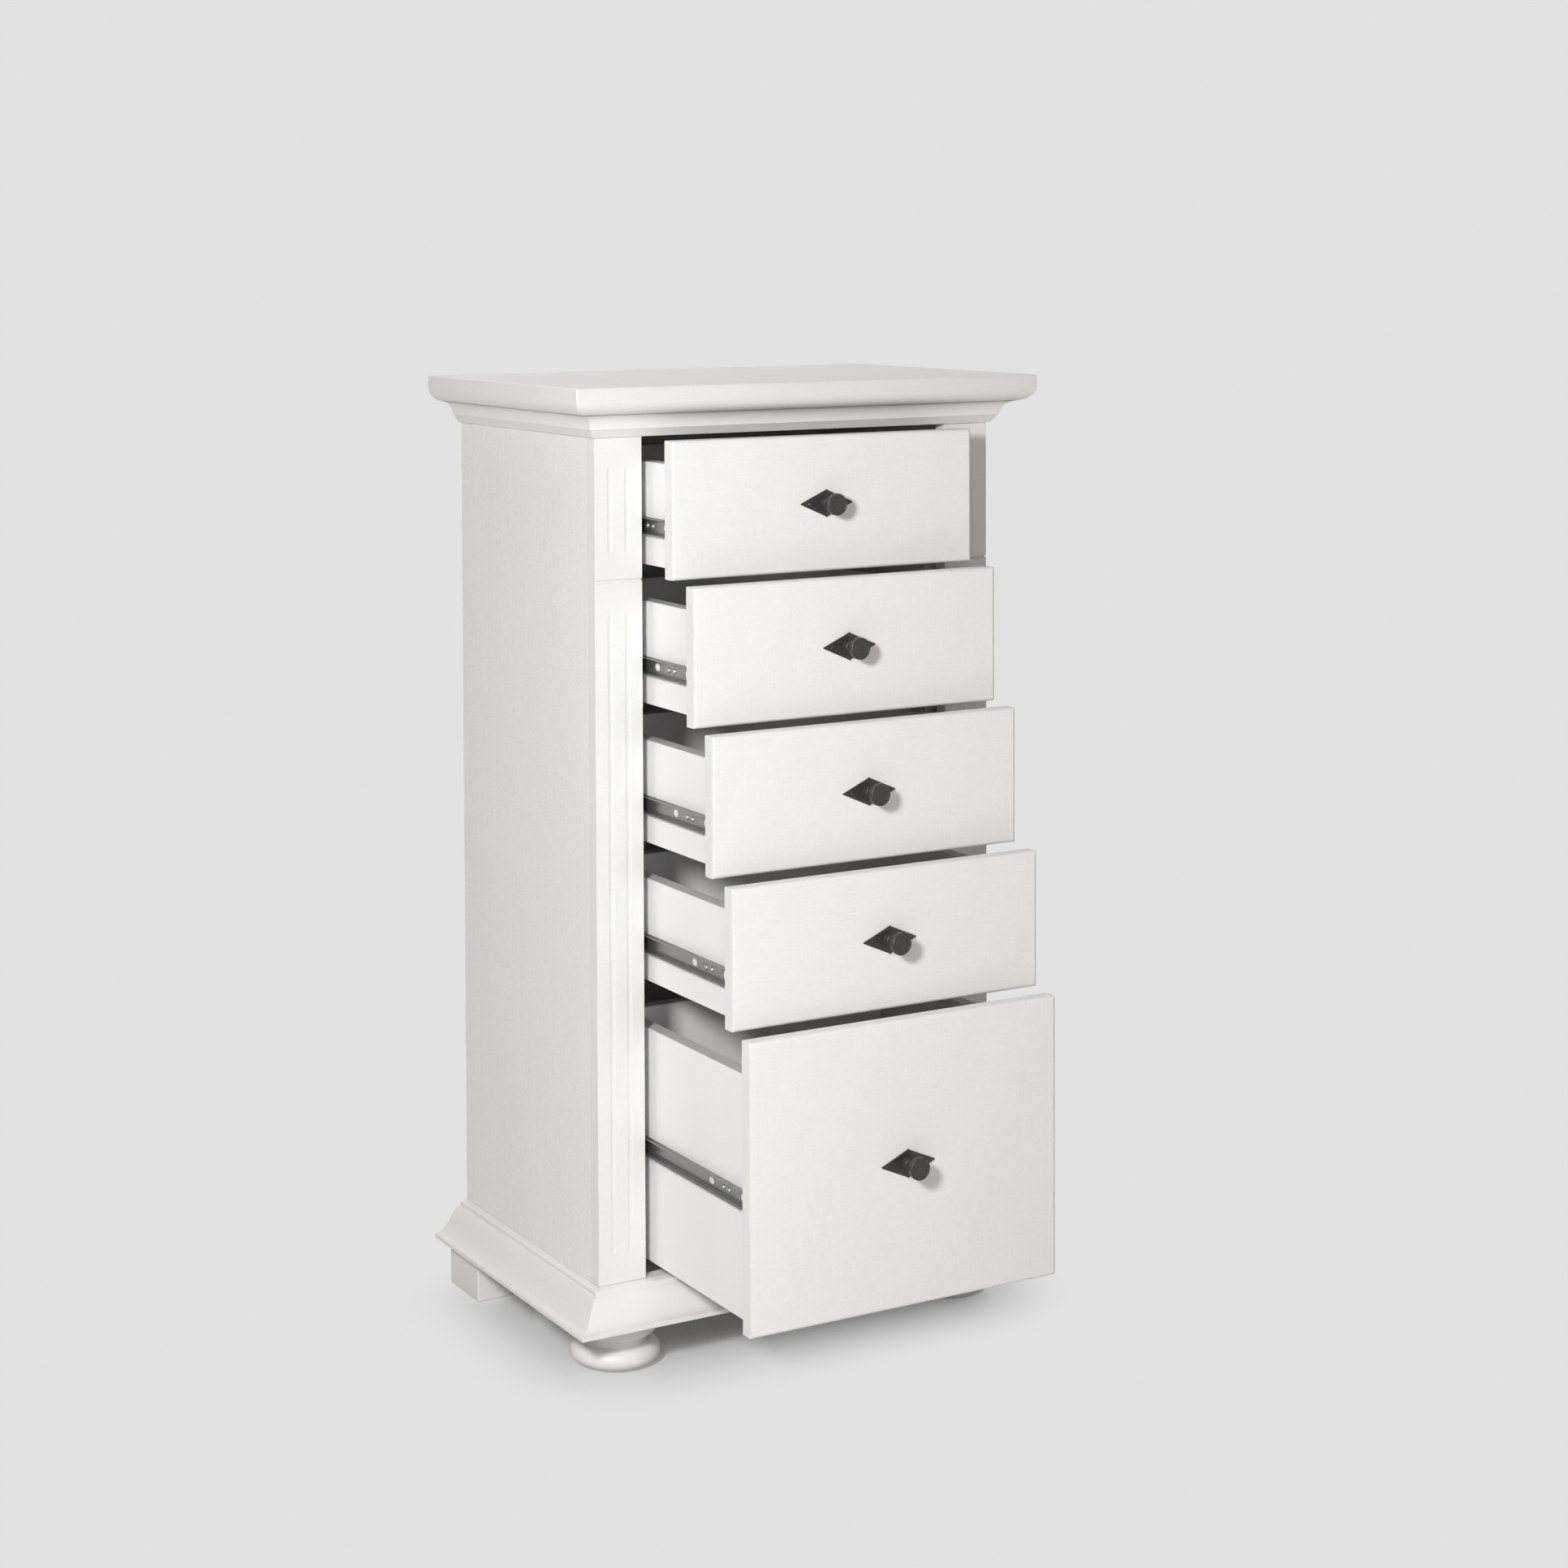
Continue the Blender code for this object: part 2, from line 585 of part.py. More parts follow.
def knob():
    """A turned knob: stepped collar, neck, and a head with a ring behind its flat face."""
    foot = PLATE_THICKNESS + 2 * SEAT
    collar = foot + COLLAR_THICKNESS
    shoulder = collar + SHOULDER_THICKNESS
    head = KNOB_REACH - HEAD_THICKNESS
    ring = head - RING_THICKNESS
    profile = [(0, foot), (KNOB_COLLAR, foot)]
    profile += arc((KNOB_COLLAR - KNOB_ARRIS, collar - KNOB_ARRIS), KNOB_ARRIS, 0, 90, 1)
    profile += [(KNOB_SHOULDER, collar)]
    profile += arc((KNOB_SHOULDER - KNOB_ARRIS, shoulder - KNOB_ARRIS), KNOB_ARRIS, 0, 90, 1)
    profile += bezier([(KNOB_NECK + KNOB_ARRIS, shoulder), (KNOB_NECK, shoulder),
                       (KNOB_NECK, shoulder + KNOB_NECK / 2)], 2)
    profile += bezier([(KNOB_NECK, ring - KNOB_NECK / 2), (KNOB_NECK, ring - KNOB_ARRIS),
                       (KNOB_RING - KNOB_ARRIS, ring)], 3)
    profile += [(KNOB_RING, ring + KNOB_ARRIS), (KNOB_RING, head - KNOB_ARRIS)]
    profile += [(KNOB_RADIUS - KNOB_ARRIS, head), (KNOB_RADIUS, head + KNOB_ARRIS)]
    profile += arc((KNOB_RADIUS - 2 * KNOB_ARRIS, KNOB_REACH - 2 * KNOB_ARRIS),
                   2 * KNOB_ARRIS, 0, 90, 2)
    profile += [(0, KNOB_REACH)]
    return turned("knob", profile, 24, Matrix.Rotation(radians(90), 4, "X"))


def drawer_levels():
    """Each drawer's lower front edge and front height, the top drawer first."""
    levels = []
    top = CORNICE_FOOT - REVEAL
    for number in range(1, 6):
        height = DEEP_FRONT if number == 5 else SHALLOW_FRONT
        levels.append((number, top - height, height))
        top -= height + REVEAL
    return levels


def slide_rise(number):
    """The slide's centre line above the front's lower edge: half way up a deep box."""
    if number == 5:
        return (BOX_RISE + DEEP_FRONT - DEEP_DROP) / 2
    return SHALLOW_SLIDE


def chest():
    case = material("painted_case", (0.80, 0.80, 0.78), 0.45)
    fronts = material("painted_front", (0.80, 0.80, 0.78), 0.45)
    inside = material("painted_inside", (0.74, 0.74, 0.72), 0.55)
    iron = material("dark_iron", (0.045, 0.045, 0.045), 0.5, 0.6)
    zinc = material("zinc_steel", (0.45, 0.45, 0.45), 0.35, 0.9)

    top_board(case)
    cornice_moulding(case)
    base_moulding(case)
    bottom_board(inside)
    back_panel(inside)
    stiles(case)
    bun = bun_mesh()
    levels = drawer_levels()
    top_slide = levels[0][1] + slide_rise(1)
    for name, side in (("left", -1), ("right", 1)):
        side_panel(f"side_{name}", side, case)
        slide_panel(f"slide_panel_{name}", side, top_slide, inside)
        bun_foot(f"bun_foot_{name}", side, bun, case)
        rear_foot(f"rear_foot_{name}", side, case)

    shallow = (drawer_front(SHALLOW_FRONT), drawer_box(SHALLOW_FRONT - SHALLOW_DROP))
    deep = (drawer_front(DEEP_FRONT), drawer_box(DEEP_FRONT - DEEP_DROP))
    bottom, plate, grip = drawer_bottom(), backplate(), knob()
    members = {"left": drawer_member(-1), "right": drawer_member(1)}
    fixed = {"left": cabinet_member(-1), "right": cabinet_member(1)}
    for number, low, height in levels:
        name = f"drawer_{number}"
        front, box = deep if number == 5 else shallow
        drawer = bpy.data.objects.new(name, None)
        drawer.location = (0, FRONT_Y - OPENED[number - 1], low)
        bpy.context.scene.collection.objects.link(drawer)
        rise = slide_rise(number)
        add(f"{name}_front", front, fronts, drawer)
        add(f"{name}_box", box, inside, drawer)
        add(f"{name}_bottom", bottom, inside, drawer)
        add(f"{name}_backplate", plate, iron, drawer, (0, 0, height / 2))
        add(f"{name}_knob", grip, iron, drawer, (0, 0, height / 2))
        for hand in ("left", "right"):
            add(f"{name}_slide_{hand}", members[hand], zinc, drawer, (0, 0, rise))
            add(f"cabinet_slide_{number}_{hand}", fixed[hand], zinc,
                place=(0, FRONT_Y, low + rise))


clear_scene()
chest()
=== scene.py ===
"""A chest of five drawers in off-white paint, its drawers standing open in steps.

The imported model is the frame. Each piece made here takes the place of a node, or is fixed to
one, and rides on the body that carries it. The sections follow the order of assembly.
"""

from math import cos, pi, radians, sin

import bmesh
import bpy
from mathutils import Matrix, Vector


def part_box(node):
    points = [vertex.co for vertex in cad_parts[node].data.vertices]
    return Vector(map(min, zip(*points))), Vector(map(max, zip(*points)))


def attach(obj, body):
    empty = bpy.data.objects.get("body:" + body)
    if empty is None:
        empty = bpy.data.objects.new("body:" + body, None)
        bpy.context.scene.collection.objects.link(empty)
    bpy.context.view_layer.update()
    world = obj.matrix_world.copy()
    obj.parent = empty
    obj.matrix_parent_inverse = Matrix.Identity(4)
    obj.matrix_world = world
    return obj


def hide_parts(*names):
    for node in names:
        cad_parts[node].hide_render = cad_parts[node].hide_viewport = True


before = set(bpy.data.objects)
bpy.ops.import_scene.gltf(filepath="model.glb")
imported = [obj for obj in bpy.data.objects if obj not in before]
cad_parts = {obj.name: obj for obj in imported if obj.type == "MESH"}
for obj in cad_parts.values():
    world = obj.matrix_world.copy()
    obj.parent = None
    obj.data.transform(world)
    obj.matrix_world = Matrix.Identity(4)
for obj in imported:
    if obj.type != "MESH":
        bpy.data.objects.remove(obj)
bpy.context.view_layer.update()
scene = bpy.context.scene


# Camera.
# It stands to the left of the chest, a little above its top, and looks almost level. The lens
# is shifted down and to the right, so that the chest's upright edges stay upright.

STAND = (-1.88383, -3.15464, 1.36723)
YAW, PITCH, ROLL = 0.5038, -0.0332, -0.0049


def camera_turn(yaw, pitch, roll):
    """The turn of a camera that looks so far right of +Y and above the level, in radians."""
    ahead = Vector((sin(yaw) * cos(pitch), cos(yaw) * cos(pitch), sin(pitch)))
    level = Vector((cos(yaw), -sin(yaw), 0))
    upright = level.cross(ahead)
    right = level * cos(roll) + upright * sin(roll)
    up = upright * cos(roll) - level * sin(roll)
    return Matrix((right, up, -ahead)).transposed().to_4x4()


lens = bpy.data.cameras.new("camera")
lens.sensor_width = 36.0
lens.lens = 66.9
lens.shift_x = 0.0698
lens.shift_y = -0.2813
lens.clip_end = 80.0
camera = bpy.data.objects.new("camera", lens)
camera.matrix_world = Matrix.Translation(STAND) @ camera_turn(YAW, PITCH, ROLL)
scene.collection.objects.link(camera)
scene.camera = camera
scene.view_settings.view_transform = "Standard"


# Studio.
# A small softbox to the left lights the chest, a wide one near the camera opens its shadows,
# and three weak ones light its top, right side and back. Floor and backdrop are pale grey.

BACKDROP = (0.7605, 0.7605, 0.7605, 1)
DIM = 0.09  # the backdrop's strength as a light
FLOOR_REACH = 40.0
FLOOR_SEEN = 0.74  # the floor's grey where the camera sees it
FLOOR_BOUNCE = 0.60  # and its grey for the light that it throws back
FLOOR_GLOSS, FLOOR_ROUGHNESS = 0.12, 0.12
FADE_IN = 0.12  # the floor turns into the backdrop from here inside the base's edge
FADE_OUT = 0.10  # to here outside it
CHEST_MIDDLE = (0, 0, 0.6)
LIT_FRONT = (0, -0.15, 0.6)


def wire(tree, kind, inputs=(), **settings):
    """A node with its settings, and its inputs given as values or as other nodes' outputs."""
    made = tree.nodes.new(kind)
    for name, value in settings.items():
        setattr(made, name, value)
    for socket, value in dict(inputs).items():
        if isinstance(value, bpy.types.NodeSocket):
            tree.links.new(value, made.inputs[socket])
        else:
            made.inputs[socket].default_value = value
    return made


def math(tree, operation, *values):
    return wire(tree, "ShaderNodeMath", enumerate(values), operation=operation).outputs[0]


def vector(tree, operation, *values, output="Vector"):
    made = wire(tree, "ShaderNodeVectorMath", enumerate(values), operation=operation)
    return made.outputs[output]


def softbox(name, place, aim, size, watts, reflected=True):
    """A square lamp that the camera doesn't see, and that gloss may or may not show."""
    lamp = bpy.data.lights.new(name, "AREA")
    lamp.size = size
    lamp.energy = watts
    made = bpy.data.objects.new(name, lamp)
    turn = (Vector(aim) - Vector(place)).to_track_quat("-Z", "Y").to_matrix().to_4x4()
    made.matrix_world = Matrix.Translation(place) @ turn
    made.visible_camera = False
    made.visible_glossy = reflected
    scene.collection.objects.link(made)


room = bpy.data.worlds.new("pale room")
room.use_nodes = True
tree = room.node_tree
tree.nodes.clear()
walls = wire(tree, "ShaderNodeBackground", {"Color": BACKDROP, "Strength": DIM})
shown = wire(tree, "ShaderNodeBackground", {"Color": BACKDROP, "Strength": 1})
path = wire(tree, "ShaderNodeLightPath").outputs
seen = math(tree, "MAXIMUM", path["Is Camera Ray"],
            math(tree, "MAXIMUM", path["Is Glossy Ray"], path["Is Transmission Ray"]))
mixed = wire(tree, "ShaderNodeMixShader", {0: seen, 1: walls.outputs[0], 2: shown.outputs[0]})
wire(tree, "ShaderNodeOutputWorld", {"Surface": mixed.outputs[0]})
scene.world = room

floor_paint = bpy.data.materials.new("floor")
floor_paint.use_nodes = True
tree = floor_paint.node_tree
tree.nodes.clear()
spot = wire(tree, "ShaderNodeTexCoord").outputs["Object"]
low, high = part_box("base_moulding")
middle = ((low.x + high.x) / 2, (low.y + high.y) / 2, 0)
half = ((high.x - low.x) / 2 - FADE_IN, (high.y - low.y) / 2 - FADE_IN, 0)
away = vector(tree, "ABSOLUTE", vector(tree, "SUBTRACT", spot, middle))
away = vector(tree, "MAXIMUM", vector(tree, "SUBTRACT", away, half), (0, 0, 0))
away = vector(tree, "LENGTH", away, output="Value")
fade = wire(tree, "ShaderNodeMapRange",
            {"Value": away, "From Min": 0.0, "From Max": FADE_IN + FADE_OUT},
            interpolation_type="SMOOTHSTEP").outputs[0]
path = wire(tree, "ShaderNodeLightPath").outputs
shade = math(tree, "MULTIPLY_ADD", path["Is Camera Ray"], FLOOR_SEEN - FLOOR_BOUNCE, FLOOR_BOUNCE)
shade = wire(tree, "ShaderNodeCombineColor", {0: shade, 1: shade, 2: shade}).outputs[0]
dull = wire(tree, "ShaderNodeBsdfDiffuse", {"Color": shade})
shine = wire(tree, "ShaderNodeBsdfAnisotropic",
             {"Color": (1, 1, 1, 1), "Roughness": FLOOR_ROUGHNESS})
lit = wire(tree, "ShaderNodeMixShader", {0: FLOOR_GLOSS, 1: dull.outputs[0], 2: shine.outputs[0]})
plain = wire(tree, "ShaderNodeEmission", {"Color": BACKDROP, "Strength": 1})
seen = math(tree, "MAXIMUM", path["Is Camera Ray"], path["Is Glossy Ray"])
mixed = wire(tree, "ShaderNodeMixShader", {0: math(tree, "MULTIPLY", fade, seen),
                                           1: lit.outputs[0], 2: plain.outputs[0]})
wire(tree, "ShaderNodeOutputMaterial", {"Surface": mixed.outputs[0]})

floor_mesh = bpy.data.meshes.new("floor")
corners = ((-1, -1), (1, -1), (1, 1), (-1, 1))
floor_mesh.from_pydata([(FLOOR_REACH * x, FLOOR_REACH * y, 0) for x, y in corners], [],
                       [(0, 1, 2, 3)])
floor_mesh.materials.append(floor_paint)
floor = bpy.data.objects.new("floor", floor_mesh)
scene.collection.objects.link(floor)

softbox("key", (-1.92, -1.80, 1.62), LIT_FRONT, 0.34, 60)
softbox("front fill", (-1.2, -2.8, 1.2), CHEST_MIDDLE, 1.2, 17.5)
softbox("overhead", (0, 0.9, 2.9), CHEST_MIDDLE, 1.8, 25)
softbox("right side", (3.0, 0.3, 1.1), CHEST_MIDDLE, 1.6, 15, reflected=False)
softbox("back", (0.8, 3.1, 1.2), CHEST_MIDDLE, 1.6, 16, reflected=False)


# Base moulding.
# A mitred frame of painted timber round the front and the sides, on which the case stands:
# a square fillet at its foot, a long ogee above it, and a small ledge at the top.

THREADS, FLECKS, CLOUDS = 900, 420, 7  # of each in a metre of paint
THREAD_DRAWN = 0.07  # a thread's pattern is squeezed by this along its length
THREAD_SHARE, FLECK_SHARE = 0.36, 0.28  # the two threads and the flecks add up to one
CLOUD_TONE = 0.035
WOOD_FIGURE = (6, 4, (9, 9, 0.5))  # upright streaks under thin paint
PAINT_RELIEF, PAINT_DEPTH = 0.9, 0.0006
PAINT_SHEEN = 0.16  # how much the gloss varies with the threads

BASE_FILLET, FILLET_ARRIS = 0.0055, 0.0007
OGEE_HEIGHT, OGEE_IN = 0.0318, 0.0006
OGEE_HOLLOW = (0.389, 0.126)  # its bends: shares of its run, and of its height from its head
OGEE_SWELL = (0.469, 0.969)
LEDGE_OUT, LEDGE_HEIGHT, LEDGE_ARRIS = 0.0095, 0.0047, 0.0012
LEDGE_CROWN = (0.4, 0.0007)  # share of its width, and how far it has fallen there
FRAME_IN = -0.0175  # both mouldings reach in this far from the faces of the case


def new_finish(name):
    made = bpy.data.materials.new(name)
    made.use_nodes = True
    return made, made.node_tree, made.node_tree.nodes["Principled BSDF"]


def noise(tree, scale, detail, stretch=(1, 1, 1)):
    """A random pattern in the piece's own metres."""
    place = wire(tree, "ShaderNodeTexCoord").outputs["Object"]
    drawn = wire(tree, "ShaderNodeMapping", {"Vector": place, "Scale": stretch}).outputs[0]
    return wire(tree, "ShaderNodeTexNoise",
                {"Vector": drawn, "Scale": scale, "Detail": detail}).outputs[0]


def end_finish(tree, shader, colour, bright, rough, relief, strength, depth):
    """Ties a colour of varying brightness, a gloss and a relief to the shader."""
    tinted = wire(tree, "ShaderNodeVectorMath", {0: colour, "Scale": bright}, operation="SCALE")
    tree.links.new(tinted.outputs[0], shader.inputs["Base Color"])
    tree.links.new(rough, shader.inputs["Roughness"])
    bump = wire(tree, "ShaderNodeBump",
                {"Height": relief, "Strength": strength, "Distance": depth})
    tree.links.new(bump.outputs[0], shader.inputs["Normal"])


def paint(name, colour, threads, painted_side_shade=0.0, edges=0.0, painted_top_shade=0.0, roughness=0.42, grain=0.0):
    """Sprayed paint with a fine cross of upright and level threads, a thread a millimetre.
    Painted shade darkens faces that look to the side or up, and the rounded upright edges."""
    made, tree, shader = new_finish(name)
    upright = noise(tree, THREADS, 3, (1, 1, THREAD_DRAWN))
    level = noise(tree, THREADS, 3, (THREAD_DRAWN, THREAD_DRAWN, 1))
    flecks = noise(tree, FLECKS, 2)
    clouds = noise(tree, CLOUDS, 2)
    weave = math(tree, "MULTIPLY", math(tree, "ADD", upright, level), THREAD_SHARE)
    weave = math(tree, "ADD", weave, math(tree, "MULTIPLY", flecks, FLECK_SHARE))
    tone = math(tree, "MULTIPLY", math(tree, "SUBTRACT", weave, 0.5), threads)
    patches = [(clouds, CLOUD_TONE)]
    if grain:
        patches.append((noise(tree, *WOOD_FIGURE), grain))
    for pattern, strength in patches:
        patch = math(tree, "MULTIPLY", math(tree, "SUBTRACT", pattern, 0.5), strength)
        tone = math(tree, "ADD", tone, patch)
    # painted shade: a darker colour where a face looks to the side or up, and on rounded upright
    # edges
    facing = wire(tree, "ShaderNodeTexCoord").outputs["Normal"]
    facing = wire(tree, "ShaderNodeSeparateXYZ", {0: facing}).outputs
    corner = math(tree, "ABSOLUTE", math(tree, "MULTIPLY", facing["X"], facing["Y"]))
    dull = math(tree, "MULTIPLY", math(tree, "ABSOLUTE", facing["X"]), painted_side_shade)
    dull = math(tree, "MULTIPLY_ADD", corner, 2 * edges, dull)
    dull = math(tree, "MULTIPLY_ADD", math(tree, "MAXIMUM", facing["Z"], 0), painted_top_shade, dull)
    bright = math(tree, "SUBTRACT", math(tree, "ADD", tone, 1), dull)
    rough = math(tree, "MULTIPLY_ADD", weave, PAINT_SHEEN, roughness - PAINT_SHEEN / 2)
    end_finish(tree, shader, colour, bright, rough, weave, PAINT_RELIEF * threads, PAINT_DEPTH)
    return made


# its side faces and rounded upright edges get a little painted shade
case_paint = paint("off_white_case", (0.780, 0.769, 0.744), 0.20, painted_side_shade=0.03, edges=0.06)


def arc(centre, radius, start, end, steps):
    """Points on a circle or, with a pair of radii, an ellipse; angles in degrees."""
    across, up = radius if isinstance(radius, tuple) else (radius, radius)
    angles = [radians(start + (end - start) * i / steps) for i in range(steps + 1)]
    return [(centre[0] + across * cos(a), centre[1] + up * sin(a)) for a in angles]


def bezier(points, steps):
    """Points along a Bezier curve with any number of control points."""
    made = []
    for i in range(steps + 1):
        level, t = points, i / steps
        while len(level) > 1:
            level = [tuple(a + (b - a) * t for a, b in zip(one, two))
                     for one, two in zip(level, level[1:])]
        made.append(level[0])
    return made


def shaded(mesh, sharp=30):
    """Faces outward, edges crisp, and round stretches smooth without bending the flat ones."""
    bm = bmesh.new()
    bm.from_mesh(mesh)
    bmesh.ops.remove_doubles(bm, verts=bm.verts, dist=1e-6)
    bmesh.ops.recalc_face_normals(bm, faces=bm.faces)
    bm.to_mesh(mesh)
    bm.free()
    mesh.shade_smooth()
    mesh.set_sharp_from_angle(angle=radians(sharp))
    holder = bpy.data.objects.new("shading", mesh)
    scene.collection.objects.link(holder)
    even = holder.modifiers.new("even", "WEIGHTED_NORMAL")
    even.keep_sharp = True
    graph = bpy.context.evaluated_depsgraph_get()
    even_mesh = bpy.data.meshes.new_from_object(holder.evaluated_get(graph))
    mesh.normals_split_custom_set([corner.vector[:] for corner in even_mesh.corner_normals])
    bpy.data.objects.remove(holder, do_unlink=True)
    bpy.data.meshes.remove(even_mesh)
    return mesh


def by_nodes(name, mesh, tree, values):
    """The piece that a node tree makes of a mesh, as a plain mesh."""
    piece = bpy.data.objects.new(name, mesh)
    scene.collection.objects.link(piece)
    maker = piece.modifiers.new("maker", "NODES")
    maker.node_group = tree
    for item in tree.interface.items_tree:
        if item.name in values:
            maker[item.identifier] = values[item.name]
    graph = bpy.context.evaluated_depsgraph_get()
    made = bpy.data.meshes.new_from_object(piece.evaluated_get(graph))
    piece.modifiers.remove(maker)
    piece.data = made
    made.name = name
    return piece


def new_tree(name, sizes, counts=()):
    """An empty geometry tree that is given a geometry, some sizes, some counts and a finish."""
    tree = bpy.data.node_groups.new(name, "GeometryNodeTree")
    sockets = [("Geometry", "Geometry")] + [(size, "Float") for size in sizes]
    sockets += [(count, "Int") for count in counts] + [("Finish", "Material")]
    for label, kind in sockets:
        tree.interface.new_socket(label, in_out="INPUT", socket_type=f"NodeSocket{kind}")
    tree.interface.new_socket("Geometry", in_out="OUTPUT", socket_type="NodeSocketGeometry")
    return tree, wire(tree, "NodeGroupInput").outputs


def point(tree, x=0.0, y=0.0, z=0.0):
    return wire(tree, "ShaderNodeCombineXYZ", {0: x, 1: y, 2: z}).outputs[0]


def joined(tree, *parts):
    join = wire(tree, "GeometryNodeJoinGeometry")
    for part in parts:
        tree.links.new(part, join.inputs[0])
    return join.outputs[0]


def end_tree(tree, made, finish):
    real = wire(tree, "GeometryNodeRealizeInstances", {"Geometry": made}).outputs[0]
    done = wire(tree, "GeometryNodeSetMaterial", {"Geometry": real, "Material": finish})
    wire(tree, "NodeGroupOutput", {0: done.outputs[0]})
    return tree


def position(tree):
    place = wire(tree, "GeometryNodeInputPosition").outputs[0]
    return wire(tree, "ShaderNodeSeparateXYZ", {0: place}).outputs


def moulding_run():
    """Carries a section from the back left corner round the front to the back right one.
    The further a point of the section stands out, the further forward it turns the corner."""
    tree, given = new_tree("moulding run", ("Half Width", "Front", "Back"))
    at = position(tree)
    corner = math(tree, "ADD", math(tree, "ADD", at["X"], given["Half Width"]), given["Front"])
    stations = ((at["X"], corner), (math(tree, "MULTIPLY", at["X"], -1), at["Y"]),
                (at["X"], given["Back"]))
    run = given["Geometry"]
    moving = None
    for x, y in stations:
        inputs = {"Mesh": run, "Offset Scale": 0.0, "Individual": False}
        if moving:
            inputs["Selection"] = moving
        drawn = wire(tree, "GeometryNodeExtrudeMesh", inputs, mode="FACES")
        moving = drawn.outputs["Top"]
        run = wire(tree, "GeometryNodeSetPosition",
                   {"Geometry": drawn.outputs["Mesh"], "Selection": moving,
                    "Position": point(tree, x, y, at["Z"])}).outputs[0]
    start = wire(tree, "GeometryNodeFlipFaces", {"Mesh": given["Geometry"]}).outputs[0]
    return end_tree(tree, joined(tree, run, start), given["Finish"])


def dress(piece, body, slot, *nodes):
    """The piece rides on its body and stands for these nodes, which are hidden. The slot is not
    used.
    """
    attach(piece, body)
    if nodes:
        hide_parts(*nodes)


case_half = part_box("side_right")[1].x
case_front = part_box("stile_left")[0].y
case_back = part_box("side_right")[1].y
case_run = {"Half Width": case_half, "Front": case_front, "Back": case_back,
            "Finish": case_paint}
mitred = moulding_run()


def moulding(name, profile, node):
    """A mitred moulding from a closed section of (out, up) points."""
    section = bpy.data.meshes.new(name)
    section.from_pydata([(-case_half - out, case_back, up) for out, up in profile], [],
                        [tuple(range(len(profile)))])
    piece = by_nodes(name, section, mitred, case_run)
    shaded(piece.data)
    dress(piece, "case", "painted_case", node)


base_low, base_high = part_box("base_moulding")
base_out = -case_half - base_low.x
fillet_top = base_low.z + BASE_FILLET
ledge_foot = fillet_top + OGEE_HEIGHT
ledge_top = ledge_foot + LEDGE_HEIGHT
bends = [(LEDGE_OUT + out * (base_out - LEDGE_OUT), ledge_foot - down * OGEE_HEIGHT)
         for out, down in (OGEE_HOLLOW, OGEE_SWELL)]
profile = [(FRAME_IN, base_high.z), (0, base_high.z)]
profile += [(LEDGE_CROWN[0] * LEDGE_OUT, base_high.z - LEDGE_CROWN[1])]
profile += arc((LEDGE_OUT - LEDGE_ARRIS, ledge_top - LEDGE_ARRIS), LEDGE_ARRIS, 75, 0, 4)
profile += bezier([(LEDGE_OUT, ledge_foot), *bends, (base_out - OGEE_IN, fillet_top)], 40)
profile += arc((base_out - FILLET_ARRIS, fillet_top - FILLET_ARRIS), FILLET_ARRIS, 60, 0, 2)
profile += arc((base_out - FILLET_ARRIS, base_low.z + FILLET_ARRIS), FILLET_ARRIS, 0, -90, 3)
profile += [(FRAME_IN, base_low.z)]
moulding("base_moulding_run", profile, "base_moulding")


# Bottom board.
# A plain painted board that lies inside the base, with a block under each corner to take
# the fixings of the feet.

# painted shade darkens every face that looks up, such as the top edges of the box boards and the
# drawer bottoms
inside_paint = paint("white_inside", (0.820, 0.811, 0.794), 0.10, painted_top_shade=0.22, roughness=0.5,
                     grain=0.03)


def refinish(material, *names):
    """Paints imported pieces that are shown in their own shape."""
    for name in names:
        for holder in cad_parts[name].material_slots:
            holder.material = material


refinish(inside_paint, "bottom_board")


# Bun feet.
# Turned feet under the two front corners: a flattened ball, a collar above it, and a wide
# disc that is screwed up against the base.

BUN_HEIGHT, BUN_SOLE, BUN_WAIST = 0.028, 0.026, 0.0426
BUN_WIDEST = 0.0151  # height of its widest point
BUN_SHOULDER = (0.0015, 0.0008)  # the small step where it meets the collar
COLLAR_RADIUS, COLLAR_HEIGHT = 0.0394, 0.0084
COLLAR_EASE = (0.0004, 0.001)  # where it meets the disc: out, and down
DISC_RADIUS, DISC_ARRIS = 0.051, 0.001
DISC_HOLLOW = ((0.006, 0.0004), (0.0005, 0.0058))  # in from its edge, and up from the collar


def turned(name, profile, steps, turn=None):
    """A solid turned about Z from (radius, up) points that start and end on the axis."""
    bm = bmesh.new()
    verts = [bm.verts.new((radius, 0, up)) for radius, up in profile]
    edges = [bm.edges.new(pair) for pair in zip(verts, verts[1:])]
    bmesh.ops.spin(bm, geom=verts + edges, axis=(0, 0, 1), cent=(0, 0, 0),
                   angle=2 * pi, steps=steps)
    if turn:
        bmesh.ops.transform(bm, matrix=turn, verts=bm.verts)
    mesh = bpy.data.meshes.new(name)
    bm.to_mesh(mesh)
    bm.free()
    return shaded(mesh)


def placed(name, mesh, finish, offset=(0, 0, 0)):
    """A piece at the origin, with its place in its mesh."""
    own = mesh.copy()
    own.name = name
    own.transform(Matrix.Translation(offset))
    own.materials.clear()
    own.materials.append(finish)
    piece = bpy.data.objects.new(name, own)
    scene.collection.objects.link(piece)
    return piece


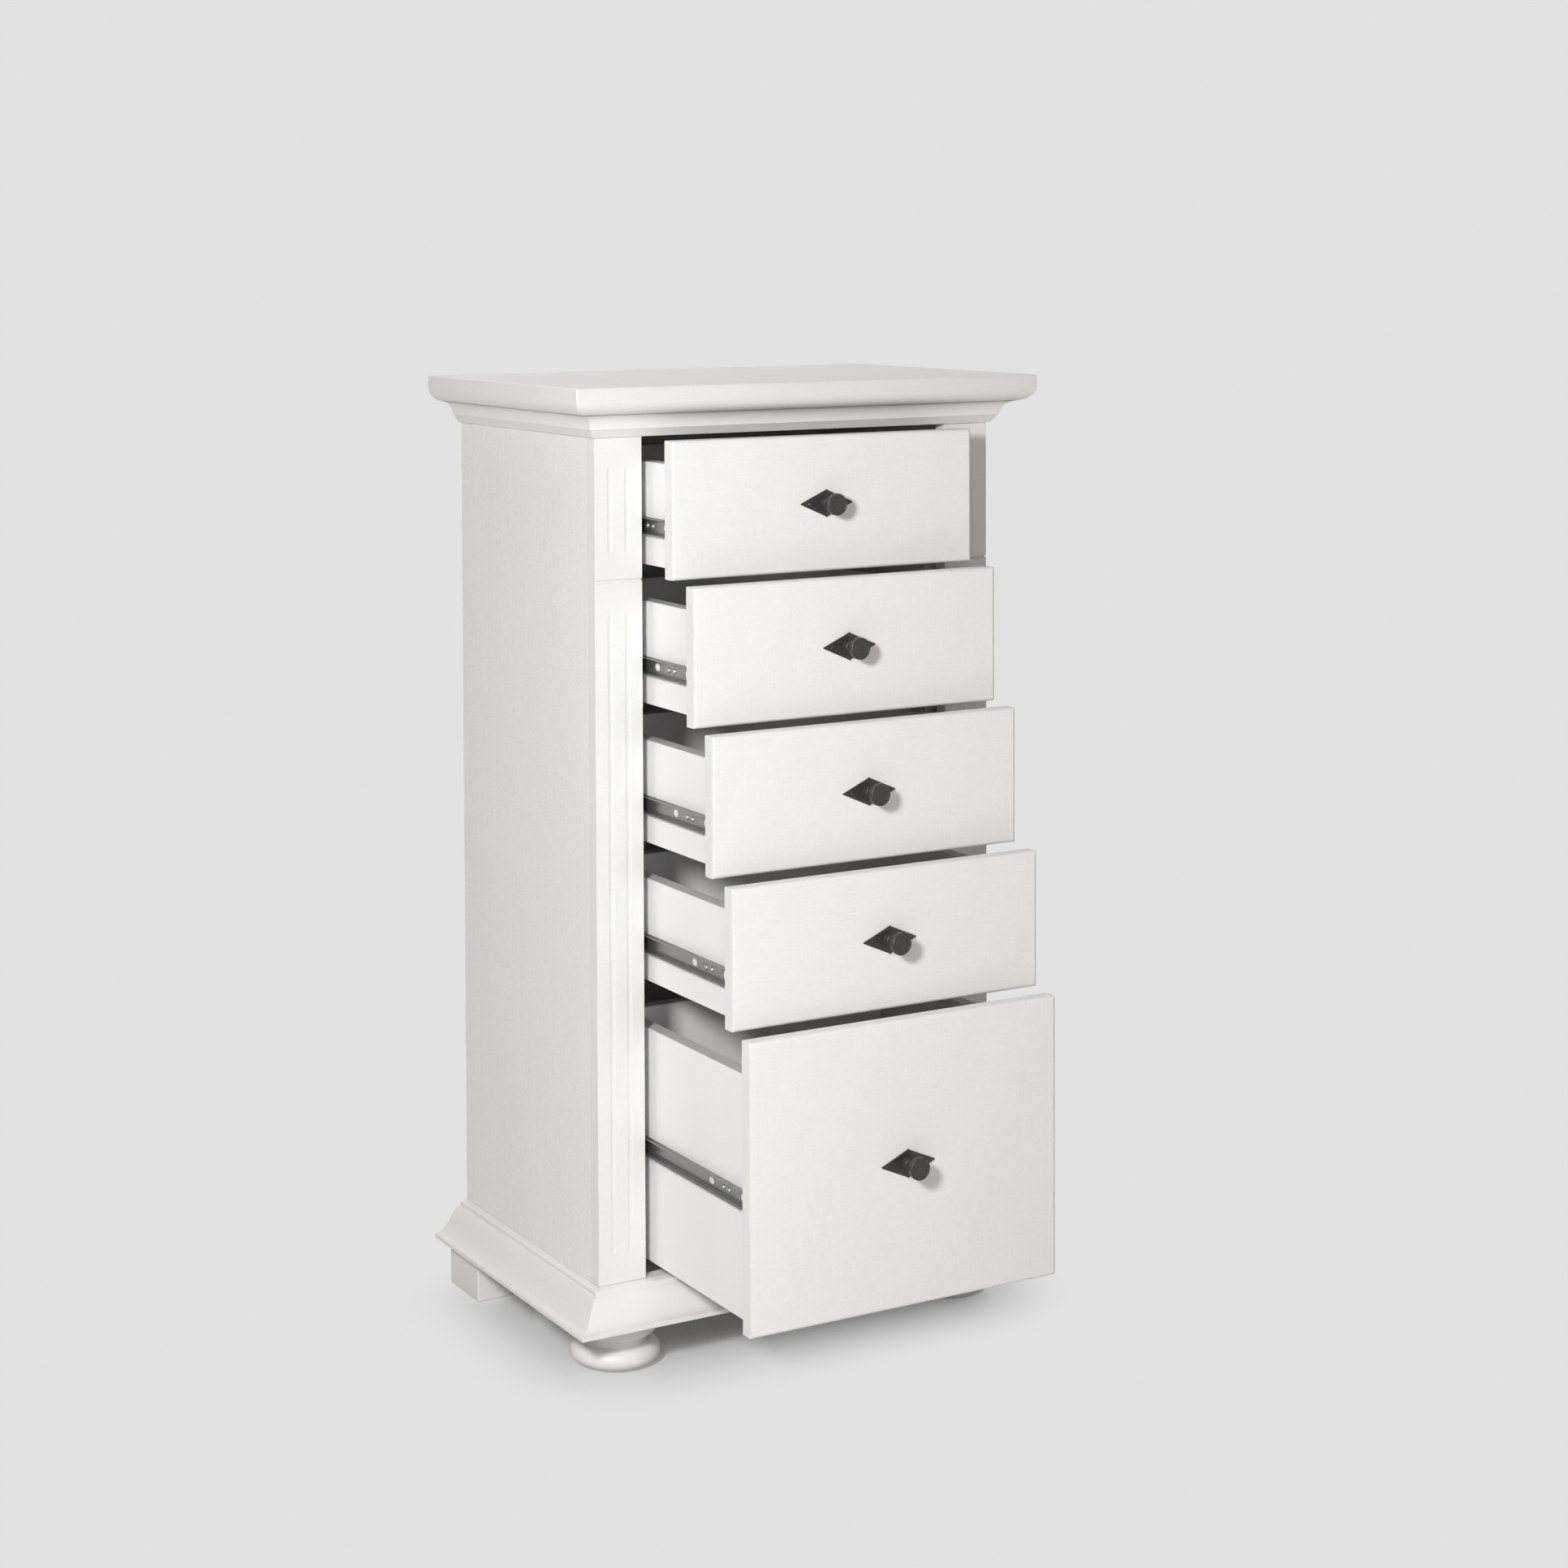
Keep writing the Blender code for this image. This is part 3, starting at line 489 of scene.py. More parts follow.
foot_low, foot_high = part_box("bun_foot_left")
bun_radius = (foot_high.x - foot_low.x) / 2
collar_top = BUN_HEIGHT + COLLAR_HEIGHT
profile = [(0, 0), (BUN_SOLE, 0)]
profile += arc((BUN_SOLE, BUN_WIDEST), (bun_radius - BUN_SOLE, BUN_WIDEST), -86, 0, 18)
profile += arc((BUN_WAIST, BUN_WIDEST), (bun_radius - BUN_WAIST, BUN_HEIGHT - BUN_WIDEST),
               6, 84, 14)
profile += [(COLLAR_RADIUS + BUN_SHOULDER[0], BUN_HEIGHT),
            (COLLAR_RADIUS, BUN_HEIGHT + BUN_SHOULDER[1]),
            (COLLAR_RADIUS, collar_top - COLLAR_EASE[1])]
profile += bezier([(COLLAR_RADIUS + COLLAR_EASE[0], collar_top)]
                  + [(DISC_RADIUS - back, collar_top + up) for back, up in DISC_HOLLOW], 8)
profile += arc((DISC_RADIUS - DISC_ARRIS, foot_high.z - DISC_ARRIS), DISC_ARRIS, 0, 90, 3)
bun = turned("bun_foot", profile + [(0, foot_high.z)], 96)
for hand in ("left", "right"):
    low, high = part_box(f"bun_foot_{hand}")
    axis = ((low.x + high.x) / 2, (low.y + high.y) / 2, 0)
    foot = placed(f"bun_foot_{hand}_turned", bun, case_paint, axis)
    dress(foot, "case", "painted_case", f"bun_foot_{hand}")


# Rear feet.
# Two plain blocks under the back corners, cut from the same board, their edges eased and
# painted with the case.

REAR_ARRIS = 0.0022


def board(name, low, high, arris, steps=3):
    """A board between two corners, all its edges rounded."""
    low, high = Vector(low), Vector(high)
    bm = bmesh.new()
    bmesh.ops.create_cube(bm, size=1)
    size = high - low
    bmesh.ops.transform(bm, verts=bm.verts,
                        matrix=Matrix.Translation((low + high) / 2) @ Matrix.Diagonal((*size, 1)))
    bmesh.ops.bevel(bm, geom=bm.edges[:], offset=arris, segments=steps, profile=0.5,
                    affect="EDGES")
    mesh = bpy.data.meshes.new(name)
    bm.to_mesh(mesh)
    bm.free()
    return shaded(mesh)


for hand in ("left", "right"):
    node = f"rear_foot_{hand}"
    foot = placed(f"{node}_block", board(node, *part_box(node), REAR_ARRIS), case_paint)
    dress(foot, "case", "painted_case", node)


# Sides and back.
# The sides are boards painted with the case, in a lighter copy of its paint: painted light. The
# back is a thin panel let into rabbets along them, held by small nails all round.

NAIL_IN, NAIL_SPAN, NAIL_PITCH = 0.011, 1.02, 0.094  # in from the edges, height, and step
NAIL_RADIUS, NAIL_FLAT = 0.0021, 0.0015
NAIL_PROUD, NAIL_SUNK = 0.0006, 0.001
METAL_SHEEN, METAL_RELIEF = 0.2, 0.5

# a lighter copy of the case paint with a stronger weave; its lighter tone is painted light
side_paint_painted_light = paint("off_white_side_painted_light", (0.800, 0.790, 0.764), 0.54)
refinish(side_paint_painted_light, "side_left", "side_right")
refinish(inside_paint, "back_panel")


def on_points(tree, points, piece, **more):
    inputs = {"Points": points, "Instance": piece, **more}
    return wire(tree, "GeometryNodeInstanceOnPoints", inputs).outputs[0]


def nail_rows():
    """One nail head at every step round a rectangle."""
    tree, given = new_tree("nail rows", ("Width", "Height", "Pitch"))
    outline = wire(tree, "GeometryNodeCurvePrimitiveQuadrilateral",
                   {"Width": given["Width"], "Height": given["Height"]}).outputs[0]
    spots = wire(tree, "GeometryNodeResampleCurve", {"Curve": outline, "Length": given["Pitch"]},
                 mode="LENGTH").outputs[0]
    return end_tree(tree, on_points(tree, spots, given["Geometry"]), given["Finish"])


def metal(name, colour, roughness, metallic, grain_scale, grain_depth, stretch=(1, 1, 1),
          contrast=0.5):
    """Metal with an even grain that varies its tone, gloss and surface."""
    made, tree, shader = new_finish(name)
    grain = noise(tree, grain_scale, 3, stretch)
    bright = math(tree, "MULTIPLY_ADD", grain, contrast, 1 - contrast / 2)
    rough = math(tree, "MULTIPLY_ADD", grain, METAL_SHEEN, roughness - METAL_SHEEN / 2)
    end_finish(tree, shader, colour, bright, rough, grain, METAL_RELIEF, grain_depth)
    shader.inputs["Metallic"].default_value = metallic
    return made


nail_steel = metal("nail_steel", (0.42, 0.42, 0.41), 0.4, 0.9, 1800, 0.00005)
nail = turned("nail", [(0, NAIL_PROUD), (NAIL_FLAT, NAIL_PROUD), (NAIL_RADIUS, NAIL_PROUD / 2),
                       (NAIL_RADIUS, -NAIL_SUNK), (0, -NAIL_SUNK)], 12)
low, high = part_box("back_panel")
nails = by_nodes("back_panel_nails", nail, nail_rows(), {
    "Width": high.x - low.x - 2 * NAIL_IN, "Height": NAIL_SPAN, "Pitch": NAIL_PITCH,
    "Finish": nail_steel})
nails.data.transform(Matrix.Translation(((low.x + high.x) / 2, high.y, (low.z + high.z) / 2))
                     @ Matrix.Rotation(radians(-90), 4, "X"))
shaded(nails.data)
dress(nails, "case", "zinc_steel")


# Stiles.
# The two uprights at the front corners, each with a pair of flutes above and below a V
# groove that runs across it a little below the top drawer.

STILE_ARRIS = 0.0006
STILE_DEEPER = Vector((0, 0.0002, 0))  # closes the joint behind
FLUTE_MARGIN, UPPER_FLUTES, LOWER_FLUTES = 0.036, 0.104, 0.780
FLUTE_WIDTH, FLUTE_DEPTH, FLUTE_SPACING = 0.008, 0.0007, 0.0235
VEE_DROP, VEE_WIDTH, VEE_DEPTH = 0.174, 0.005, 0.0035
VEE_CUTTER = 0.3  # long enough to cross the stile


def fluted_stile():
    """Takes two long and two short round-ended flutes, and one V groove, out of a board."""
    sizes = ("Centre", "Face", "Flute Width", "Flute Depth", "Spacing", "Upper Middle",
             "Upper Length", "Lower Middle", "Lower Length", "Groove Level", "Groove Width",
             "Groove Depth")
    tree, given = new_tree("fluted stile", sizes)
    width, depth = given["Flute Width"], given["Flute Depth"]
    squares = math(tree, "ADD", math(tree, "MULTIPLY", math(tree, "MULTIPLY", width, width),
                                     0.25), math(tree, "MULTIPLY", depth, depth))
    radius = math(tree, "DIVIDE", squares, math(tree, "MULTIPLY", depth, 2))
    which = math(tree, "SIGN", position(tree)["Z"])
    first = math(tree, "SUBTRACT", given["Centre"], math(tree, "MULTIPLY", given["Spacing"], 0.5))
    behind = math(tree, "SUBTRACT", math(tree, "ADD", given["Face"], depth), radius)
    cutters = []
    for part in ("Upper", "Lower"):
        ball = wire(tree, "GeometryNodeMeshUVSphere", {"Segments": 64, "Rings": 31,
                                                       "Radius": radius}).outputs[0]
        ends = math(tree, "SUBTRACT", given[f"{part} Length"], width)
        stretch = math(tree, "MULTIPLY", which, math(tree, "MULTIPLY", ends, 0.5))
        bar = wire(tree, "GeometryNodeSetPosition",
                   {"Geometry": ball, "Offset": point(tree, z=stretch)}).outputs[0]
        place = point(tree, first, behind, given[f"{part} Middle"])
        pair = wire(tree, "GeometryNodeMeshLine",
                    {"Count": 2, "Start Location": place,
                     "Offset": point(tree, given["Spacing"])}).outputs[0]
        cutters.append(on_points(tree, pair, bar))
    bar = wire(tree, "GeometryNodeMeshCylinder", {"Vertices": 4, "Depth": VEE_CUTTER,
                                                  "Radius": given["Groove Depth"]}).outputs[0]
    flat = math(tree, "DIVIDE", math(tree, "MULTIPLY", given["Groove Width"], 0.5),
                given["Groove Depth"])
    vee = wire(tree, "GeometryNodeTransform", {
        "Geometry": bar, "Rotation": (0, radians(90), 0), "Scale": point(tree, flat, 1.0, 1.0),
        "Translation": point(tree, given["Centre"], given["Face"], given["Groove Level"])})
    solid = wire(tree, "GeometryNodeRealizeInstances",
                 {0: joined(tree, *cutters, vee.outputs[0])}).outputs[0]
    cut = wire(tree, "GeometryNodeMeshBoolean", {0: given["Geometry"], 1: solid},
               operation="DIFFERENCE", solver="EXACT")
    return end_tree(tree, cut.outputs["Mesh"], given["Finish"])


fluting = fluted_stile()
for hand in ("left", "right"):
    node = f"stile_{hand}"
    low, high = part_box(node)
    upper, lower = high.z - FLUTE_MARGIN, low.z + FLUTE_MARGIN
    plain_board = board(node, low, high + STILE_DEEPER, STILE_ARRIS)
    stile = by_nodes(f"{node}_fluted", plain_board, fluting, {
        "Centre": (low.x + high.x) / 2, "Face": low.y, "Spacing": FLUTE_SPACING,
        "Flute Width": FLUTE_WIDTH, "Flute Depth": FLUTE_DEPTH,
        "Upper Middle": upper - UPPER_FLUTES / 2, "Upper Length": UPPER_FLUTES,
        "Lower Middle": lower + LOWER_FLUTES / 2, "Lower Length": LOWER_FLUTES,
        "Groove Level": high.z - VEE_DROP, "Groove Width": VEE_WIDTH,
        "Groove Depth": VEE_DEPTH, "Finish": case_paint})
    shaded(stile.data, 32)
    dress(stile, "case", "painted_case", node)


# Cornice moulding.
# It runs round the case under the top: a deep cove, and below it a bevel that dies into the
# sides and the stiles.

COVE_FOOT, COVE_ARRIS = 0.0121, 0.0006
COVE_BENDS = ((0.50, 0.03), (0.02, 0.44))  # shares of its run, and of its height from its head
QUIRK = 0.0011  # the step between cove and bevel
BEVEL_FOOT, BEVEL_HEIGHT = 0.0041, 0.0098
BEVEL_HOLLOW = (0.0012, 0.0046)  # its middle lies this far in, at this height
SEAM = 0.0002

cove_low, cove_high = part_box("cornice_moulding")
cove_head = -case_half - cove_low.x
bevel_top = cove_low.z + BEVEL_HEIGHT
bends = [(COVE_FOOT + out * (cove_head - COVE_FOOT),
          cove_high.z - down * (cove_high.z - bevel_top))
         for out, down in COVE_BENDS]
profile = [(cove_head - COVE_ARRIS, cove_high.z)]
profile += bezier([(cove_head, cove_high.z - SEAM), *bends,
                   (COVE_FOOT, bevel_top + COVE_ARRIS)], 28)
profile += arc((COVE_FOOT - COVE_ARRIS, bevel_top + COVE_ARRIS), COVE_ARRIS, -30, -90, 2)
profile += [(COVE_FOOT - QUIRK, bevel_top)]
profile += bezier([(COVE_FOOT - QUIRK - COVE_ARRIS / 2, bevel_top - COVE_ARRIS),
                   ((COVE_FOOT + BEVEL_FOOT) / 2 - BEVEL_HOLLOW[0], cove_low.z + BEVEL_HOLLOW[1]),
                   (BEVEL_FOOT, cove_low.z + SEAM)], 6)
profile += [(BEVEL_FOOT - SEAM, cove_low.z), (FRAME_IN, cove_low.z), (FRAME_IN, cove_high.z)]
moulding("cornice_cove", profile, "cornice_moulding")


# Top.
# One thick board with a square upper edge and a quarter round below it, worked along the
# front and both ends. It lies on the cornice moulding.

OVOLO, TOP_ARRIS, TOP_CORNER = 0.019, 0.0020, 0.0012
OVOLO_SWELL = (0.0070, 0.0013)  # its lower bend: in from the edge, and up
OVOLO_RISE = 0.0098  # height of its upper bend, at the edge


def loft(name, rings, sharp=30):
    """A solid through rings of points, filled over the first and the last ring."""
    bm = bmesh.new()
    loops = [[bm.verts.new(point) for point in ring] for ring in rings]
    for one, two in zip(loops, loops[1:]):
        for i in range(len(one)):
            bm.faces.new((one[i - 1], one[i], two[i], two[i - 1]))
    bm.faces.new(loops[0])
    bm.faces.new(loops[-1])
    mesh = bpy.data.meshes.new(name)
    bm.to_mesh(mesh)
    bm.free()
    return shaded(mesh, sharp)


def top_ring(out, up):
    """The outline of the top at one height, its two front corners slightly eased."""
    x, y, corner = case_half + out, case_front - out, TOP_CORNER
    left = arc((-x + corner, y + corner), corner, 180, 270, 3)
    right = arc((x - corner, y + corner), corner, 270, 360, 3)
    return [(px, py, up) for px, py in [(-x, case_back)] + left + right + [(x, case_back)]]


top_low, top_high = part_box("top_board")
top_out = -case_half - top_low.x
profile = bezier([(top_out - OVOLO, top_low.z),
                  (top_out - OVOLO_SWELL[0], top_low.z + OVOLO_SWELL[1]),
                  (top_out, top_low.z + OVOLO_RISE), (top_out, top_low.z + OVOLO)], 28)
profile += arc((top_out - TOP_ARRIS, top_high.z - TOP_ARRIS), TOP_ARRIS, 0, 90, 5)
top = placed("top_board_moulded", loft("top", [top_ring(*point) for point in profile]),
             case_paint)
dress(top, "case", "painted_case", "top_board")


# Slide panels.
# Upright boards behind the stiles, on battens against the sides. They bring the cabinet
# halves of the slides in line with the drawers.

refinish(inside_paint, "slide_panel_left", "slide_panel_right")


# Cabinet slides.
# The outer channel of each ball bearing slide, in zinc plated steel. Its flanges bulge round
# the balls, which sit in a retainer at its front end, and three screws hold it.

SHEET, BEND = 0.0012, 0.0019
BALL, BALL_PITCH, BALL_PLAY = 0.0048, 0.0064, 0.00035
TRACK_WIDTH, TRACK_DEPTH, TRACK_FACETS = 0.0046, 0.0012, 10  # the groove for the balls
TRACK_PAST = 0.0011  # its middle lies this far past the flange's, towards the lip
INNER_HALF = 0.0105  # half the height of the member that runs inside

HOLES, HOLE_RADIUS, HOLE_REACH = (0.060, 0.150, 0.240), 0.0035, 0.003
SCREW_RADIUS, SCREW_HEIGHT, SCREW_ROUND = 0.0033, 0.0017, 0.0015
RECESS, RECESS_FLOOR = (0.0016, 0.0003), 0.0007  # half its length and width
BLADE_TOP, BLADE_ARRIS = 0.003, 0.00005
CASE_SCREWS, CASE_SCREW_PITCH = 0.035, 0.128

CAGE_LENGTH, CAGE_SHEET = 0.060, 0.0006
CAGE_BACK = 0.0012  # from the channel's end
CAGE_OUT, CAGE_LIP, BALLS_OUT = 0.0105, 0.0038, 0.00635  # from the side of the box

slide_steel = metal("zinc_plated", (0.30, 0.30, 0.295), 0.36, 0.85, 900, 0.00008, (1, 0.06, 1))
screw_steel = metal("screw_steel", (0.52, 0.52, 0.50), 0.30, 0.9, 1500, 0.00004)


def channel(web, lip, height, groove):
    """A slide member's section, as (out, up) points: a web, and two flanges with a round
    groove for the balls. A negative groove bulges outward."""
    way = 1 if lip > web else -1
    middle = (web + lip) / 2 + way * TRACK_PAST
    top = height / 2
    radius = (TRACK_WIDTH ** 2 / 4 + groove ** 2) / (2 * abs(groove))
    outer = [(web + way * BEND * (1 - cos(a)), top - BEND * (1 - sin(a)))
             for a in (radians(d) for d in (0, 22.5, 45, 67.5, 90))]
    track = []
    for i in range(TRACK_FACETS + 1):
        across = (i / TRACK_FACETS - 0.5) * TRACK_WIDTH
        dip = (radius ** 2 - across ** 2) ** 0.5 - (radius - abs(groove))
        track.append((middle + way * across, top - (dip if groove > 0 else -dip)))
    track.append((lip, top))
    inner = [(out, up - SHEET) for out, up in reversed(track)]
    small = BEND - SHEET
    inner += [(web + way * (SHEET + small * (1 - cos(a))), top - SHEET - small * (1 - sin(a)))
              for a in (radians(90), radians(45), 0)]
    upper = outer + track + inner
    return upper + [(out, -up) for out, up in reversed(upper)]


def prism(name, outline, axis, start, end, sharp=30):
    """A solid of one outline, drawn across an axis and carried along it."""
    order = {"X": (2, 0, 1), "Y": (0, 2, 1)}[axis]
    rings = [[tuple((one, two, depth)[i] for i in order) for one, two in outline]
             for depth in (start, end)]
    return loft(name, rings, sharp)


def carved(mesh, cutters):
    """The mesh with the other meshes cut away from it."""
    holders = [bpy.data.objects.new("carving", m) for m in [mesh] + cutters]
    for holder in holders:
        scene.collection.objects.link(holder)
    for cutter in holders[1:]:
        cut = holders[0].modifiers.new("cut", "BOOLEAN")
        cut.operation = "DIFFERENCE"
        cut.solver = "EXACT"
        cut.object = cutter
    graph = bpy.context.evaluated_depsgraph_get()
    made = bpy.data.meshes.new_from_object(holders[0].evaluated_get(graph))
    for holder in holders:
        bpy.data.objects.remove(holder, do_unlink=True)
    return shaded(made, 40)


def one_mesh(name, parts):
    """Several meshes as one."""
    bm = bmesh.new()
    for part in parts:
        bm.from_mesh(part)
    mesh = bpy.data.meshes.new(name)
    bm.to_mesh(mesh)
    bm.free()
    return shaded(mesh)


def screw():
    """The pan head of a screw along X, facing -X, with a cross recess."""
    head = [(0, SCREW_HEIGHT)]
    head += arc((SCREW_RADIUS - SCREW_ROUND, SCREW_HEIGHT - SCREW_ROUND), SCREW_ROUND, 80, 0, 4)
    body = turned("screw", head + [(SCREW_RADIUS, 0), (0, 0)], 24)
    blades = [board("blade", (-wide, -narrow, RECESS_FLOOR), (wide, narrow, BLADE_TOP),
                    BLADE_ARRIS, 1)
              for wide, narrow in (RECESS, RECESS[::-1])]
    made = carved(body, blades)
    made.transform(Matrix.Rotation(radians(-90), 4, "Y"))
    return made


def screw_rows():
    """Pairs of screws along Y, each turned to its own angle."""
    tree, given = new_tree("screw rows", ("Pair Pitch", "Row Pitch"), ("Pair", "Rows", "Seed"))
    pair, rows = [wire(tree, "GeometryNodeMeshLine",
                       {"Count": given[count], "Offset": point(tree, y=given[pitch])}).outputs[0]
                  for count, pitch in (("Pair", "Pair Pitch"), ("Rows", "Row Pitch"))]
    spots = on_points(tree, rows, pair)
    spots = wire(tree, "GeometryNodeRealizeInstances", {0: spots}).outputs[0]
    turn = wire(tree, "FunctionNodeRandomValue", {"Max": (2 * pi, 0, 0), "Seed": given["Seed"]},
                data_type="FLOAT_VECTOR").outputs[0]
    heads = on_points(tree, spots, given["Geometry"], Rotation=turn)
    return end_tree(tree, heads, given["Finish"])


screw_mesh = {-1: screw()}
screw_mesh[1] = screw_mesh[-1].copy()
screw_mesh[1].transform(Matrix.Rotation(pi, 4, "Z"))
screw_tree = screw_rows()


def screws(name, body, side, place, pair, pair_pitch, rows, row_pitch, seed):
    """The screws of one slide member, from its front one on."""
    piece = by_nodes(name, screw_mesh[side], screw_tree, {
        "Pair": pair, "Pair Pitch": pair_pitch, "Rows": rows, "Row Pitch": row_pitch,
        "Seed": seed, "Finish": screw_steel})
    piece.data.transform(Matrix.Translation(place))
    shaded(piece.data, 40)
    dress(piece, body, "zinc_steel")


def ball_rows():
    """Steel balls in a row along Y."""
    tree, given = new_tree("ball rows", ("Length", "Pitch", "Diameter"))
    count = math(tree, "FLOOR", math(tree, "DIVIDE", given["Length"], given["Pitch"]))
    line = wire(tree, "GeometryNodeMeshLine",
                {"Count": count, "Offset": point(tree, y=given["Pitch"])}).outputs[0]
    radius = math(tree, "MULTIPLY", given["Diameter"], 0.5)
    ball = wire(tree, "GeometryNodeMeshUVSphere", {"Segments": 16, "Rings": 10,
                                                   "Radius": radius}).outputs[0]
    row = on_points(tree, line, ball)
    return end_tree(tree, joined(tree, row, given["Geometry"]), given["Finish"])


ball_tree = ball_rows()
slide_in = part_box("drawer_1_box")[1].x
ball_up = INNER_HALF - TRACK_DEPTH + BALL_PLAY + BALL / 2

for number in range(1, 6):
    for hand, side in (("left", -1), ("right", 1)):
        node = f"cabinet_slide_{number}_{hand}"
        low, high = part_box(node)
        middle = (low.z + high.z) / 2
        web = side * (high.x if side > 0 else low.x) - slide_in
        lip = side * (low.x if side > 0 else high.x) - slide_in
        # without the bulge of its grooves the channel is lower than its node's box
        section = channel(web, lip, high.z - low.z - 2 * TRACK_DEPTH, -TRACK_DEPTH)
        outline = [(side * (slide_in + out), up) for out, up in section]
        body = prism(node, outline, "Y", low.y, high.y, 40)
        plane = side * (slide_in + web)
        holes = [prism("hole", arc((low.y + along, 0), HOLE_RADIUS, 0, 337.5, 15), "X",
                       plane - HOLE_REACH, plane + HOLE_REACH) for along in HOLES]
        member = placed(f"{node}_channel", carved(body, holes), slide_steel, (0, 0, middle))
        dress(member, "case", "zinc_steel", node)
        screws(f"{node}_screws", "case", side,
               (plane - side * SHEET, low.y + CASE_SCREWS, middle),
               1, 0.0, 3, CASE_SCREW_PITCH, number)

        face = side * (slide_in + CAGE_OUT)
        lips = side * (slide_in + CAGE_LIP)
        half = CAGE_SHEET / 2
        outline = [(face, ball_up + half), (lips, ball_up + half), (lips, ball_up - half),
                   (face - side * CAGE_SHEET, ball_up - half)]
        outline += [(out, -up) for out, up in reversed(outline)]
        start = low.y + CAGE_BACK
        strip = prism("retainer", outline, "Y", start, start + CAGE_LENGTH)
        rows = []
        for up in (ball_up, -ball_up):
            row = by_nodes(f"{node}_row", bpy.data.meshes.new("row"), ball_tree, {
                "Length": CAGE_LENGTH, "Pitch": BALL_PITCH, "Diameter": BALL,
                "Finish": slide_steel})
            row.data.transform(Matrix.Translation((side * (slide_in + BALLS_OUT),
                                                   start + BALL_PITCH / 2, up)))
            rows.append(row)
        balls = one_mesh("balls", [strip] + [row.data for row in rows])
        for row in rows:
            bpy.data.objects.remove(row, do_unlink=True)
        cage = placed(f"{node}_balls", balls, slide_steel, (0, 0, middle))
        dress(cage, "case", "zinc_steel")


# Drawer boxes.
# Two sides and a back of painted board, the bottom panel held in a groove round their inside.
# The front is fixed to the ends of the sides.

BOX_BOARD, BOX_ARRIS = 0.019, 0.0010
GROOVE_DEPTH, GROOVE_PLAY = 0.008, 0.0003
BACK_JOINT = 0.0002  # between the ends of the back and the sides
BACK_DROP = 0.0004  # the back is this much lower than the sides
DRAWERS = [f"drawer_{number}" for number in range(1, 6)]


def grooved(name, outside, inside, low, high, groove, axis, start, end):
    """A box board: its upper edge eased, with a groove for the bottom on its inner face."""
    way = 1 if inside > outside else -1
    thick = abs(outside - inside)
    eased = arc((thick - BOX_ARRIS, high - BOX_ARRIS), BOX_ARRIS, 0, 90, 3)
    eased += arc((BOX_ARRIS, high - BOX_ARRIS), BOX_ARRIS, 90, 180, 3)
    outline = [(outside + way * x, z) for x, z in eased]
    outline += [(outside, low), (inside, low), (inside, groove[0]),
                (inside - way * GROOVE_DEPTH, groove[0]), (inside - way * GROOVE_DEPTH, groove[1]),
                (inside, groove[1])]
    return prism(name, outline, axis, start, end)


for body in DRAWERS:
    low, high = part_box(f"{body}_box")
    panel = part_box(f"{body}_bottom")
    groove = (panel[0].z - GROOVE_PLAY, panel[1].z + GROOVE_PLAY)
    parts = [grooved("side", outside, inside, low.z, high.z, groove, "Y", low.y, high.y)
             for outside, inside in ((low.x, low.x + BOX_BOARD), (high.x, high.x - BOX_BOARD))]
    parts.append(grooved("back", high.y, high.y - BOX_BOARD, low.z, high.z - BACK_DROP, groove,
                         "X", low.x + BOX_BOARD + BACK_JOINT, high.x - BOX_BOARD - BACK_JOINT))
    box = placed(f"{body}_boards", one_mesh("box", parts), inside_paint)
    dress(box, body, "painted_inside", f"{body}_box")
    refinish(inside_paint, f"{body}_bottom")


# Drawer slides.
# The inner channel of each slide, screwed to the side of the box. An oval hole in it gives
# access to the screws behind, and its front end is notched for the catch.

MEMBER_WEB, MEMBER_LIP = 0.0003, 0.0095  # where its sheet begins and ends, from the box
CUT_DEPTHS = (-0.002, 0.0034)  # the cuts go through the web only
OVAL_BACK, OVAL_HALF, OVAL_RADIUS = 0.102, 0.002, 0.0045
PAST_END = 0.001
NOTCH_END, NOTCH_RADIUS = 0.0097, 0.0048
NICK_FOOT, NICK_HEAD = (0.0072, 0.0076), (0.0089, 0.0087)  # at its mouth and at its end
NICK_END = (0.0134, 0.0140)
BOX_SCREWS, BOX_PAIR_PITCH, BOX_ROW_PITCH = 0.060, 0.0135, 0.224

for number, body in enumerate(DRAWERS, 1):
    front_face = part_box(f"{body}_front")[0].y
    for hand, side in (("left", -1), ("right", 1)):
        node = f"{body}_slide_{hand}"
        low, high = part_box(node)
        middle = (low.z + high.z) / 2
        section = channel(MEMBER_WEB, MEMBER_LIP, high.z - low.z, TRACK_DEPTH)
        outline = [(side * (slide_in + out), up) for out, up in section]
        bar = prism(node, outline, "Y", low.y, high.y, 40)
        oval = arc((front_face + OVAL_BACK + OVAL_HALF, 0), OVAL_RADIUS, -90, 90, 10)
        oval += arc((front_face + OVAL_BACK - OVAL_HALF, 0), OVAL_RADIUS, 90, 270, 10)
        mouth = low.y - PAST_END
        notch = [(mouth, NOTCH_RADIUS)]
        notch += arc((low.y + NOTCH_END, 0), NOTCH_RADIUS, 90, -90, 16)
        notch += [(mouth, -NOTCH_RADIUS)]
        nick = [(mouth, NICK_FOOT[0]), (low.y + NICK_END[0], NICK_FOOT[1]),
                (low.y + NICK_END[1], NICK_HEAD[1]), (mouth, NICK_HEAD[0])]
        ends = sorted(side * (slide_in + depth) for depth in CUT_DEPTHS)
        cutters = [prism("cut", shape, "X", *ends) for shape in (oval, notch, nick)]
        member = placed(f"{node}_channel", carved(bar, cutters), slide_steel, (0, 0, middle))
        dress(member, body, "zinc_steel", node)
        plane = side * (slide_in + MEMBER_WEB + SHEET)
        screws(f"{node}_screws", body, side, (plane, front_face + BOX_SCREWS, middle),
               2, BOX_PAIR_PITCH, 2, BOX_ROW_PITCH, 10 + number)


